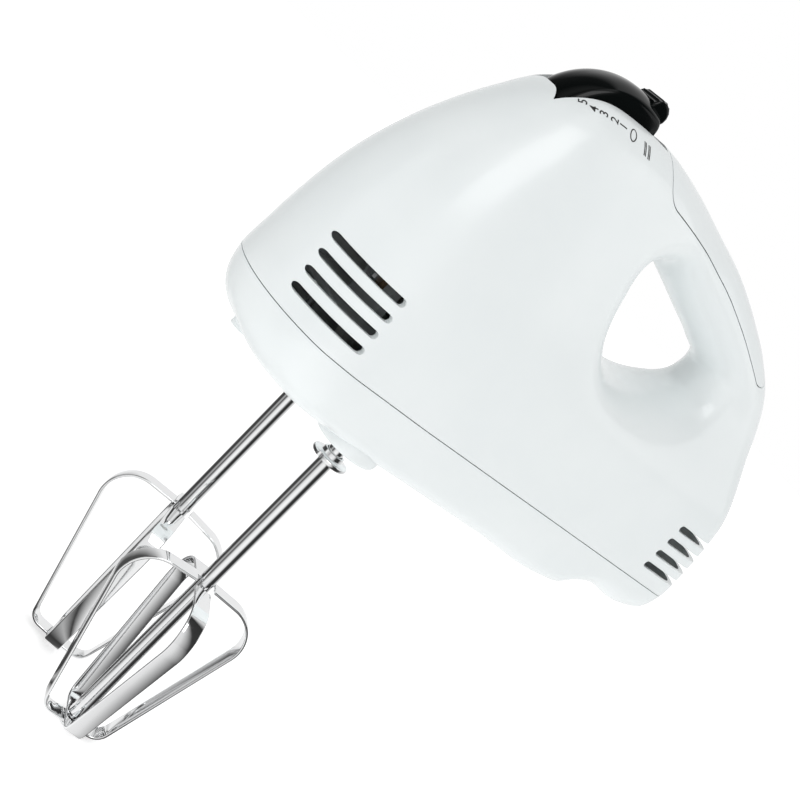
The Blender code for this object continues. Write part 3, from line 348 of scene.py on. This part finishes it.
def prism_data(outline, low, high, axis):
    count = len(outline)
    verts = [place(axis, level, a, b) for level in (low, high) for a, b in outline]
    faces = [tuple(range(count)), tuple(range(count, 2 * count))]
    faces += [(i, (i + 1) % count, (i + 1) % count + count, i + count) for i in range(count)]
    return verts, faces


def turned_data(profile, centre=(0, 0, 0), axis="Z", sides=64, ring=False):
    verts = []
    for radius, along in profile:
        for k in range(sides):
            angle = 2 * math.pi * k / sides
            point = place(axis, along, radius * math.cos(angle), radius * math.sin(angle))
            verts.append(tuple(p + c for p, c in zip(point, centre)))
    faces = grid_faces(len(profile), sides, close_rows=ring)
    if not ring:
        faces += [tuple(range(sides)), tuple(range((len(profile) - 1) * sides, len(profile) * sides))]
    return verts, faces


def turned(name, profile, centre=(0, 0, 0), axis="Z", sides=64, ring=False):
    return make(name, *turned_data(profile, centre, axis, sides, ring))


def group(name, bodies):
    verts = []
    faces = []
    for body_verts, body_faces in bodies:
        faces += [tuple(i + len(verts) for i in face) for face in body_faces]
        verts += body_verts
    return make(name, verts, faces)


def rods(name, radius, places, sides=32):
    return group(name, [turned_data([(radius, low), (radius, high)], (x, y, 0), "Z", sides)
                        for x, y, low, high in places])


def soften(profile, radius, steps=3, closed=False):
    """Replaces the corners of a turned profile by small arcs."""
    points = [Vector(p) for p in profile]
    count = len(points)
    result = []
    for i, corner in enumerate(points):
        if not closed and i in (0, count - 1):
            result.append(tuple(corner))
            continue
        before = points[i - 1] - corner
        after = points[(i + 1) % count] - corner
        reach = min(radius, before.length * 0.45, after.length * 0.45)
        start = corner + before.normalized() * reach
        end = corner + after.normalized() * reach
        for k in range(steps + 1):
            t = k / steps
            result.append(tuple(start * (1 - t) ** 2 + corner * 2 * t * (1 - t) + end * t ** 2))
    return result


# ---------------------------------------------------------------- body surface
def closed_spline(points, count):
    """Even samples along the closed smooth curve through the points; extra columns are carried along."""
    knots = np.array(points, float)
    size = len(knots)
    chord = np.linalg.norm(np.roll(knots[:, :2], -1, 0) - knots[:, :2], axis=1)
    before = np.roll(chord, 1)
    slope_in = (knots - np.roll(knots, 1, 0)) / before[:, None]
    slope_out = (np.roll(knots, -1, 0) - knots) / chord[:, None]
    tangent = (slope_in * chord[:, None] + slope_out * before[:, None]) / (before + chord)[:, None]
    starts = np.concatenate([[0], np.cumsum(chord)])
    samples = []
    for place_on in np.linspace(0, starts[-1], count, endpoint=False):
        i = min(np.searchsorted(starts, place_on, side="right") - 1, size - 1)
        j = (i + 1) % size
        t = (place_on - starts[i]) / chord[i]
        samples.append((2 * t**3 - 3 * t**2 + 1) * knots[i] + (t**3 - 2 * t**2 + t) * chord[i] * tangent[i]
                       + (3 * t**2 - 2 * t**3) * knots[j] + (t**3 - t**2) * chord[i] * tangent[j])
    return np.array(samples)


def inset(curve, distance):
    """Moves a closed curve to its left by a distance."""
    along = np.roll(curve[:, :2], -1, 0) - np.roll(curve[:, :2], 1, 0)
    along /= np.linalg.norm(along, axis=1)[:, None]
    moved = curve.copy()
    moved[:, 0] -= along[:, 1] * distance
    moved[:, 1] += along[:, 0] * distance
    return moved


def smooth_step(value):
    value = np.clip(value, 0, 1)
    return value * value * (3 - 2 * value)


def half_width(x, z):
    heights, widths = zip(*HALF_WIDTHS)
    fine = np.linspace(heights[0], heights[-1], 200)
    kernel = np.hanning(41) / np.hanning(41).sum()
    padded = np.pad(np.interp(fine, heights, widths), 20, mode="reflect", reflect_type="odd")
    eased = np.convolve(padded, kernel, "valid")
    width = np.interp(z, fine, eased) * (1 - TAPER_RATE * np.clip(TAPER_START - x, 0, None))
    in_grip = smooth_step((-28 - x) / 45) * smooth_step((z - 52) / 42)
    return width * (1 - in_grip) + GRIP_HALF_WIDTH * in_grip


def distance_to(points, curve):
    ends = np.roll(curve, -1, 0)
    span = ends - curve
    offset = points[:, None, :] - curve[None, :, :]
    t = np.clip((offset * span).sum(2) / (span * span).sum(1), 0, 1)
    return np.linalg.norm(offset - t[:, :, None] * span, axis=2).min(1)


def rounding(share):
    share = np.clip(share, 0, 1)
    return np.sqrt(1 - (1 - share) ** 2)


def matched_rays(edge, rim, count):
    """Pairs of points on the outer edge and on the opening's rim, spread evenly along both."""
    turns = np.linspace(0, 2 * math.pi, 1441)
    curves = []
    progress = np.zeros(len(turns))
    for curve in (edge, rim):
        offset = curve[:, :2] - np.array(OPENING_CENTRE)
        angle = np.arctan2(offset[:, 1] * OPENING_SQUASH, offset[:, 0])
        even = [np.interp(turns, angle, curve[:, k], period=2 * math.pi) for k in range(curve.shape[1])]
        curves.append(np.stack(even, -1))
        steps = np.linalg.norm(np.diff(curves[-1][:, :2], axis=0), axis=1)
        progress[1:] += np.cumsum(steps) / steps.sum()
    chosen = np.interp(np.arange(count) * 2 / count, progress, turns)
    return [np.stack([np.interp(chosen, turns, c[:, k]) for k in range(c.shape[1])], -1) for c in curves]


def body_surface(name, around, across, wall):
    """The closed body form, set in from the outside by a wall thickness, as in the frame but fine."""
    edge = inset(closed_spline(OUTLINE, 1440), wall)
    rim = inset(closed_spline(OPENING, 720), wall)
    chosen, inner = matched_rays(edge, rim, around)
    reach = np.maximum(chosen[:, 2] - wall, 3.0)
    flat = chosen[:, 3]
    rows = []
    for step in range(across):
        share = 0.5 - 0.5 * math.cos(math.pi * step / (across - 1))
        side = chosen[:, :2] * (1 - share) + inner * share
        from_edge = rounding(distance_to(side, edge[::2, :2]) / reach)
        from_rim = rounding(distance_to(side, rim[::2]) / (OPENING_ROUNDING - wall))
        if step == 0:
            from_edge = from_edge * 0
        if step == across - 1:
            from_rim = from_rim * 0
        width = half_width(side[:, 0], side[:, 1]) - wall
        y = width * (flat + (1 - flat) * from_edge) * (0.03 + 0.97 * from_rim)
        rows.append(np.stack([side[:, 0], y, side[:, 1]], -1))
    mirrored = [row * np.array([1, -1, 1]) for row in reversed(rows)]
    grid = np.array(rows + mirrored)
    return make(name, grid.reshape(-1, 3), grid_faces(grid.shape[0], grid.shape[1], close_rows=True))


OUTSIDE = (420, 60)
INSIDE = (200, 30)


# ---------------------------------------------------------------- housings
def slot_outline(x0, x1, z, steps=8):
    radius = SLOT_HEIGHT / 2
    points = []
    for end, centre in ((1, x1 - radius), (-1, x0 + radius)):
        for k in range(steps + 1):
            angle = math.pi * (k / steps - 0.5)
            points.append((z + end * radius * math.sin(angle), centre + end * radius * math.cos(angle)))
    return points


def cooling_slots():
    slots = []
    for _, side in SIDES:
        for heights, span, near in SLOTS:
            across = sorted((side * near, side * 48))
            slots += [prism_data(slot_outline(*span, z), *across, "Y") for z in heights]
    return group("cooling_slots", slots)


def rounded_cover_outline():
    """The cover's edge in side view, with its corners eased."""
    return soften(COVER, 6.0, 8)


def cover_region(grow):
    outline = inset(np.array(rounded_cover_outline()), grow)
    return make("cover_region", *prism_data([(z, x) for x, z in outline], -40, 40, "Y"))


def switch_opening():
    radius = SWITCH_RADIUS + 0.5
    back = SWITCH_X - SWITCH_OPENING_BACK
    start = -math.asin(SWITCH_OPENING_BACK / radius)
    outline = [(SWITCH_Z - 15.0, back)]
    for k in range(61):
        angle = start + (math.radians(104) - start) * k / 60
        outline.append((SWITCH_Z + radius * math.cos(angle), SWITCH_X + radius * math.sin(angle)))
    outline.append((SWITCH_Z - 15.0, SWITCH_X + 20.0))
    half = SWITCH_HALF_WIDTH + 0.45
    return make("switch_opening", *prism_data(outline, -half, half, "Y"))


def upper_housing():
    shell = body_surface("upper_housing_shell", *OUTSIDE, 0)
    combine(shell, cover_region(SEAM_GAP / 2))
    combine(shell, switch_opening())
    combine(shell, body_surface("upper_cavity", *INSIDE, WALL))
    combine(shell, box("above_seam", -200, 100, -80, 80, SEAM_Z + SEAM_GAP / 2, 200), "INTERSECT")
    combine(shell, cooling_slots())
    combine(shell, turned("inlet_hole", [(5.4, -170), (5.4, -120)], (0, 0, INLET_Z), "X", 48))
    publish(shell, "white_shell", "root", "upper_housing")
    return shell


def handle_cover():
    cover = body_surface("handle_cover_shell", *OUTSIDE, 0)
    combine(cover, cover_region(-SEAM_GAP / 2), "INTERSECT")
    combine(cover, body_surface("cover_cavity", *INSIDE, WALL))
    publish(cover, "white_shell", "root", "handle_cover")


def lower_housing():
    tray = body_surface("lower_housing_shell", *OUTSIDE, 0)
    combine(tray, body_surface("lower_cavity", *INSIDE, WALL))
    above = SEAM_Z + 5
    combine(tray, rods("lower_tubes", 4.0, [(x, y, low + 1, above) for x, y, low in SCREWS]), "UNION")
    combine(tray, rods("screw_holes", 1.7, [(x, y, -5, 40) for x, y, _ in SCREWS]))
    combine(tray, rods("screw_wells", 3.5, [(x, y, -5, low + 8) for x, y, low in SCREWS]))
    combine(tray, box("below_seam", -200, 100, -80, 80, -50, SEAM_Z - SEAM_GAP / 2), "INTERSECT")
    profile = soften([(0.02, -2.6), (11.2, -2.6), (12.2, -1.4), (12.2, 6), (0.02, 6)], 0.8, 4)
    sockets = [turned_data(profile, (0, side * SOCKET_Y, 0)) for _, side in SIDES]
    combine(tray, group("sockets", sockets), "UNION")
    bores = [(0, side * SOCKET_Y, -6, 10) for _, side in SIDES]
    combine(tray, rods("socket_bores", 7.8, bores, 64))
    publish(tray, "white_shell", "root", "lower_housing")


# ---------------------------------------------------------------- switch and scale
def speed_switch():
    """Crowned rocking drum with its knurled thumb knob."""
    half = SWITCH_HALF_WIDTH
    across = np.linspace(-1, 1, 41)
    drop = 3.2 * np.abs(across) ** 2.4 + 1.1 * np.clip((np.abs(across) - 0.9) / 0.1, 0, 1) ** 2
    angles = np.concatenate([np.linspace(SWITCH_BACK, SWITCH_STEP[0], 30, endpoint=False),
                             np.linspace(SWITCH_STEP[0], SWITCH_STEP[1], 22, endpoint=False),
                             np.linspace(SWITCH_STEP[1], SWITCH_FRONT, 110)])
    rows = []
    for angle in angles:
        share = np.clip((angle - SWITCH_STEP[0]) / (SWITCH_STEP[1] - SWITCH_STEP[0]), 0, 1)
        rise = math.sqrt(1 - (1 - share) ** 2)
        outer = SKIRT_RADIUS + (SWITCH_RADIUS - SKIRT_RADIUS) * rise - drop * (0.3 + 0.7 * rise)
        radii = np.concatenate([[15.0], outer, [15.0]])
        turn = math.radians(angle)
        widths = np.concatenate([[-half], half * across, [half]])
        forward = SWITCH_X + radii * math.sin(turn)
        rows.append(np.stack([forward, widths, SWITCH_Z + radii * math.cos(turn)], -1))
    size = len(rows[0])
    drum = make("speed_switch_drum", np.concatenate(rows), capped_grid(len(rows), size))
    combine(drum, thumb_knob(), "UNION")
    combine(drum, turned("hub", [(4.2, -half), (4.2, half)], (SWITCH_X, 0, SWITCH_Z), "Y", 48), "UNION")
    combine(drum, box("web", SWITCH_X - 3, SWITCH_X + 6, -2, 2, SWITCH_Z, SWITCH_Z + 17), "UNION")
    combine(drum, turned("bore", [(1.9, -half - 1), (1.9, half + 1)], (SWITCH_X, 0, SWITCH_Z), "Y", 48))
    publish(drum, "black_switch", "switch_drum", "speed_switch")


def thumb_knob(ridges=15, sides=240):
    """Barrel along Y with rounded ends and ridges that the thumb pushes on."""
    turn = math.radians(KNOB_ANGLE)
    centre = (SWITCH_X + KNOB_REACH * math.sin(turn), 0, SWITCH_Z + KNOB_REACH * math.cos(turn))
    profile = soften([(0.6, -6.1), (KNOB_RADIUS, -6.1), (KNOB_RADIUS, 6.1), (0.6, 6.1)], 2.2, 8)
    verts, faces = turned_data(profile, (0, 0, 0), "Y", sides)
    shaped = []
    for x, y, z in verts:
        angle = math.atan2(z, x)
        radius = math.hypot(x, z)
        depth = 0.42 * smooth_step((radius - 2.6) / 1.4)
        radius -= depth * abs(math.sin(angle * ridges / 2)) ** 0.7 * smooth_step((6.0 - abs(y)) / 1.2)
        shaped.append((centre[0] + radius * math.cos(angle), y, centre[2] + radius * math.sin(angle)))
    return make("thumb_knob", shaped, faces)


def glyph_shapes():
    """Scale marks as (centre x, centre z, polygons in mm with +x to the reader's right, +y up)."""
    marks = []
    numerals = (("5", 19, 121.9), ("4", 15.8, 122.7), ("3", 12.7, 123.8), ("2", 8.9, 124.7), ("1", 5.4, 125.3))
    for text, x, z in numerals:
        marks.append((x, z, digit(text, 3.1)))
    marks.append((1.0, 125.6, ellipse_ring(2.3, 1.45, 0.4)))
    strokes = []
    for shift in (-1.5, -0.85, 0.5, 1.15):
        points = [(u, shift + 0.25 * u + edge) for edge in (-0.18, 0.18) for u in np.linspace(-2.2, 2.2, 9)]
        strokes.append((points, [(k, k + 1, k + 10, k + 9) for k in range(8)]))
    marks.append((-5.8, 125.4, strokes))
    return marks


def digit(text, size):
    curve = bpy.data.curves.new("digit", "FONT")
    curve.body = text
    curve.size = size * 1.35
    curve.align_x = "CENTER"
    curve.align_y = "CENTER"
    curve.resolution_u = 6
    curve.offset = 0.02
    holder = bpy.data.objects.new("digit", curve)
    bpy.context.scene.collection.objects.link(holder)
    bpy.context.view_layer.update()
    mesh = bpy.data.meshes.new_from_object(holder.evaluated_get(bpy.context.evaluated_depsgraph_get()))
    shape = ([tuple(v.co[:2]) for v in mesh.vertices], [tuple(p.vertices) for p in mesh.polygons])
    bpy.data.objects.remove(holder, do_unlink=True)
    return [shape]


def ellipse_ring(wide, high, stroke, steps=48):
    verts = []
    for grow in (0, stroke):
        for k in range(steps):
            angle = 2 * math.pi * k / steps
            verts.append(((wide - grow) * math.cos(angle), (high - grow) * math.sin(angle)))
    faces = [(k, (k + 1) % steps, steps + (k + 1) % steps, steps + k) for k in range(steps)]
    return [(verts, faces)]


def printed_scale(shell):
    """Numerals, off ring and eject strokes, laid on the left flank beside the switch as a skin of ink."""
    shape = bmesh.new()
    shape.from_mesh(shell.data)
    surface = BVHTree.FromBMesh(shape)
    shape.free()
    verts = []
    faces = []
    for x, z, outlines in glyph_shapes():
        at, normal, _, _ = surface.ray_cast(Vector((x, 60, z)) * MM, Vector((0, -1, 0)))
        if at is None:
            continue
        up = (Vector((1, 0, 0)) - normal * normal.x).normalized()
        right = up.cross(normal).normalized()
        for points, polygons in outlines:
            base = len(verts)
            for u, v in points:
                above = at + (right * u + up * v + normal * 4) * MM
                hit, hit_normal, _, _ = surface.ray_cast(above, -normal)
                verts.append((hit + hit_normal * 0.03 * MM) / MM)
            faces += [tuple(i + base for i in polygon) for polygon in polygons]
    scale = make("printed_scale", [tuple(v) for v in verts], faces)
    skin = scale.modifiers.new("ink_thickness", "SOLIDIFY")
    skin.thickness = 0.04 * MM
    skin.offset = 1
    settle(scale)
    publish(scale, "ink", "root")


# ---------------------------------------------------------------- beaters
def arc_points(centre, radius, start, end, steps):
    angles = [math.radians(start + (end - start) * k / steps) for k in range(steps + 1)]
    return [(centre[0] + radius * math.cos(a), centre[1] + radius * math.sin(a)) for a in angles]


def blade_line(top, bottom, radius):
    """Half of a strap's middle line, from the rod at the top to the middle of the foot."""
    shoulder = 12.0
    slant = 18.0
    foot = 5.0
    line = [(SHAFT_RADIUS + 0.9, top + 0.6)]
    line += arc_points((radius - shoulder, top - shoulder), shoulder, 84, -slant, 28)
    line += arc_points((BLADE_FOOT - foot, bottom + foot), foot, -slant, -90, 14)
    line.append((0.0, bottom))
    return line


def strap_section(steps=4):
    """Rolled steel strip: a flat with rounded edges, as (across thickness, across width)."""
    thick = STRAP_THICKNESS / 2
    wide = STRAP_WIDTH / 2
    points = []
    for corner_t, corner_w, start in ((1, 1, 0), (-1, 1, 90), (-1, -1, 180), (1, -1, 270)):
        for k in range(steps + 1):
            angle = math.radians(start + 90 * k / steps)
            turned_t = math.cos(angle) * 0.42
            turned_w = math.sin(angle) * 0.42
            points.append((corner_t * (thick - 0.42) + turned_t, corner_w * (wide - 0.42) + turned_w))
    return points


def strap(name, word, y, angle, top, bottom, radius, node):
    half = blade_line(top, bottom, radius)
    line = np.array(half + [(-r, z) for r, z in reversed(half[:-1])])
    steps = np.concatenate([[0], np.cumsum(np.linalg.norm(np.diff(line, axis=0), axis=1))])
    even = np.linspace(0, steps[-1], 320)
    points = np.stack([np.interp(even, steps, line[:, k]) for k in (0, 1)], -1)
    along = np.gradient(points, axis=0)
    along /= np.linalg.norm(along, axis=1)[:, None]
    across = np.stack([-along[:, 1], along[:, 0]], -1)
    turn = math.radians(angle)
    outward = np.array([math.cos(turn), math.sin(turn), 0])
    sideways = np.array([-math.sin(turn), math.cos(turn), 0])
    section = strap_section()
    rows = []
    for point, shift in zip(points, across):
        for t, w in section:
            radial, height = point + shift * t
            rows.append(outward * radial + sideways * w + np.array([0, y, height]))
    size = len(section)
    piece = make(name, rows, capped_grid(len(points), size))
    combine(piece, turned("hole", [(2.0, bottom - 3), (2.0, bottom + 3)], (0, y, 0), "Z", 32))
    publish(piece, "chromed_steel", f"beater_{word}", node, angle=50)


def beater(word, y):
    angle = BLADE_ANGLES[word]
    tip = BLADE_BOTTOM + 2.6
    profile = soften([(0.05, SHAFT_LOW), (1.5, SHAFT_LOW), (1.5, tip), (SHAFT_RADIUS, tip),
                      (SHAFT_RADIUS, SHAFT_TOP - 1.4), (1.9, SHAFT_TOP), (0.05, SHAFT_TOP)], 0.35, 4)
    shaft = turned(f"beater_rod_{word}", profile, (0, y, 0))
    publish(shaft, "chromed_steel", f"beater_{word}", f"beater_shaft_{word}")
    strap(f"beater_outer_strap_{word}", word, y, angle, BLADE_TOP + 1.5, BLADE_BOTTOM - 0.3, BLADE_RADIUS,
          f"beater_strap_outer_{word}")
    strap(f"beater_inner_strap_{word}", word, y, angle + 90, BLADE_TOP, BLADE_BOTTOM + 1.3, BLADE_RADIUS,
          f"beater_strap_inner_{word}")
    low = BLADE_BOTTOM - 1.1
    cap = [(1.7, low), (3.6, low), (3.6, low - 0.7), (2.8, low - 1.3), (1.7, low - 1.3)]
    cap = soften(cap, 0.3, 3, closed=True)
    publish(turned(f"beater_cap_{word}", cap, (0, y, 0), ring=True), "chromed_steel", f"beater_{word}",
            f"beater_rivet_{word}")


def collar():
    y = SOCKET_Y
    inner = SHAFT_RADIUS + 0.3
    profile = [(inner, COLLAR_Z - 0.8), (6.6, COLLAR_Z - 0.8), (6.9, COLLAR_Z), (6.6, COLLAR_Z + 0.8),
               (4.0, COLLAR_Z + 0.9), (3.9, COLLAR_Z + 2.6), (inner, COLLAR_Z + 2.6)]
    piece = turned("beater_collar", soften(profile, 0.3, 3, closed=True), (0, y, 0), ring=True)
    notches = []
    for side in (1, -1):
        angle = math.radians(BLADE_ANGLES["left"] + 45)
        reach = side * 7.4
        notches.append((reach * math.cos(angle), y + reach * math.sin(angle), COLLAR_Z - 3, COLLAR_Z + 3))
    combine(piece, rods("notches", 1.5, notches))
    publish(piece, "chromed_steel", "beater_left", "beater_collar_left")


def sockets_and_inlet():
    profile = [(5.3, -2.2), (7.5, -2.2), (7.5, 6.4), (9.4, 6.4), (9.4, 8.2), (5.3, 8.2)]
    for word, side in SIDES:
        section = soften(profile, 0.4, 4, closed=True)
        bush = turned(f"socket_ring_{word}", section, (0, side * SOCKET_Y, 0), ring=True)
        publish(bush, "grey_nylon", "root", f"socket_bush_{word}")
    profile = [(3.4, -139.0), (7.2, -139.0), (7.2, -141.9), (5.0, -141.9), (5.0, -147.4), (7.2, -147.4),
               (6.4, -150.0), (3.4, -150.0)]
    grommet = turned("cord_inlet_ring", soften(profile, 0.5, 4, closed=True), (0, 0, INLET_Z), "X", ring=True)
    publish(grommet, "soft_grey_rubber", "root", "cord_inlet")


def screws():
    names = ("front_screw", "rear_screw", "side_screw_left", "side_screw_right")
    for name, (x, y, low) in zip(names, SCREWS):
        seat = low + 8 - 0.3
        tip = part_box(name)[1].z / MM
        profile = soften([(0.05, seat - 1.9), (1.9, seat - 1.8), (2.8, seat - 1.1), (2.8, seat), (1.3, seat),
                          (1.3, tip - 1.5), (0.05, tip)], 0.25, 3)
        piece = turned(name + "_cross_head", profile, (x, y, 0), sides=48)
        cross = [box_data(x - 1.4, x + 1.4, y - 0.32, y + 0.32, seat - 3, seat - 0.9)]
        combine(piece, group("recess", cross))
        combine(piece, box("recess", x - 0.32, x + 0.32, y - 1.4, y + 1.4, seat - 3, seat - 0.9))
        publish(piece, "plain_steel", "root", name)


# ---------------------------------------------------------------- studio
ROUND_ABOUT = ((0.0, 0.75), (0.10, 0.95), (0.22, 0.9), (0.30, 0.08), (0.42, 0.04), (0.49, 0.45), (0.55, 0.04),
               (0.62, 0.85), (0.70, 1.0), (0.745, 0.8), (0.79, 0.04), (0.90, 0.03), (0.97, 0.7))


def grey_ramp(tree, source, stops):
    """Greys along a value, as a socket."""
    ramp = tree.nodes.new("ShaderNodeValToRGB")
    tree.links.new(source, ramp.inputs["Fac"])
    elements = ramp.color_ramp.elements
    elements.remove(elements[1])
    elements[0].position = stops[0][0]
    elements[0].color = (stops[0][1], stops[0][1], stops[0][1], 1)
    for position, level in stops[1:]:
        elements.new(position).color = (level, level, level, 1)
    return ramp.outputs["Color"]


def turn_about(tree, place_at):
    """The angle about the upright axis, from 0 to 1."""
    gradient = tree.nodes.new("ShaderNodeTexGradient")
    gradient.gradient_type = "RADIAL"
    tree.links.new(place_at, gradient.inputs["Vector"])
    return gradient.outputs["Fac"]


def height_of(tree, place_at):
    """How far up a direction points, from 0 straight down to 1 straight up."""
    split = tree.nodes.new("ShaderNodeSeparateXYZ")
    lift = tree.nodes.new("ShaderNodeMapRange")
    lift.inputs["From Min"].default_value = -1
    tree.links.new(place_at, split.inputs["Vector"])
    tree.links.new(split.outputs["Z"], lift.inputs["Value"])
    return lift.outputs["Result"]


def studio():
    world = bpy.data.worlds.new("studio")
    bpy.context.scene.world = world
    world.use_nodes = True
    tree = world.node_tree
    path = tree.nodes.new("ShaderNodeLightPath")
    shown = tree.nodes["Background"]
    shown.inputs["Color"].default_value = (1, 1, 1, 1)
    direction = tree.nodes.new("ShaderNodeTexCoord").outputs["Generated"]
    for measure, stops, strength, ray in (
            (height_of, ((0.0, 0.70), (0.5, 0.78), (0.75, 1.0)), 0.62, "Is Diffuse Ray"),
            (turn_about, ROUND_ABOUT, 0.95, "Is Glossy Ray")):
        background = tree.nodes.new("ShaderNodeBackground")
        background.inputs["Strength"].default_value = strength
        tree.links.new(grey_ramp(tree, measure(tree, direction), stops), background.inputs["Color"])
        mix = tree.nodes.new("ShaderNodeMixShader")
        tree.links.new(path.outputs[ray], mix.inputs["Fac"])
        tree.links.new(shown.outputs[0], mix.inputs[1])
        tree.links.new(background.outputs["Background"], mix.inputs[2])
        shown = mix
    tree.links.new(shown.outputs[0], tree.nodes["World Output"].inputs["Surface"])
    for name, at, aim, size, power in (
            ("key", (0.25, 0.75, 0.85), (-0.02, 0, 0.03), 0.55, 2.2),
            ("fill", (0.9, 0.1, 0.25), (0, 0, 0), 0.7, 0.8),
            ("rear", (-0.8, 0.5, 0.6), (-0.05, 0, 0.05), 0.6, 0.9)):
        light = bpy.data.lights.new(name, "AREA")
        light.size = size
        light.energy = power
        holder = bpy.data.objects.new(name, light)
        bpy.context.scene.collection.objects.link(holder)
        holder.location = at
        holder.rotation_euler = (Vector(aim) - Vector(at)).to_track_quat("-Z", "Y").to_euler()
    floor_z = CAD_BOUNDS[0][2] / MM - 0.4
    floor = make("floor", [(-4000, -4000, floor_z), (4000, -4000, floor_z), (4000, 4000, floor_z),
                           (-4000, 4000, floor_z)], [(0, 1, 2, 3)])
    finish = Nodes("pale_floor")
    finish.colours(finish.noise(6, 4), (0.90, 0.90, 0.90), (0.92, 0.92, 0.92))
    finish.roughness(finish.noise(20, 3), 0.75, 0.9)
    finish.set(Emission_Color=(1, 1, 1, 1), Emission_Strength=0.5)
    tree = finish.tree
    mirrored = finish.add("ShaderNodeEmission")
    mix = finish.add("ShaderNodeMixShader")
    tree.links.new(grey_ramp(tree, turn_about(tree, finish.place), ROUND_ABOUT), mirrored.inputs["Color"])
    tree.links.new(finish.add("ShaderNodeLightPath").outputs["Is Glossy Ray"], mix.inputs["Fac"])
    tree.links.new(finish.shader.outputs["BSDF"], mix.inputs[1])
    tree.links.new(mirrored.outputs["Emission"], mix.inputs[2])
    tree.links.new(mix.outputs["Shader"], tree.nodes["Material Output"].inputs["Surface"])
    floor.data.materials.append(finish.material)
    camera = bpy.data.cameras.new("camera")
    camera.lens = CAMERA_LENS
    camera.sensor_width = 36
    camera.clip_end = 20
    holder = bpy.data.objects.new("camera", camera)
    bpy.context.scene.collection.objects.link(holder)
    holder.location = CAMERA_AT
    holder.rotation_euler = [math.radians(a) for a in CAMERA_TURN]
    bpy.context.scene.camera = holder
    bpy.context.scene.view_settings.view_transform = "Standard"


dress_frame()
shell = upper_housing()
handle_cover()
lower_housing()
speed_switch()
printed_scale(shell)
for word, side in SIDES:
    beater(word, side * SOCKET_Y)
collar()
sockets_and_inlet()
screws()
studio()
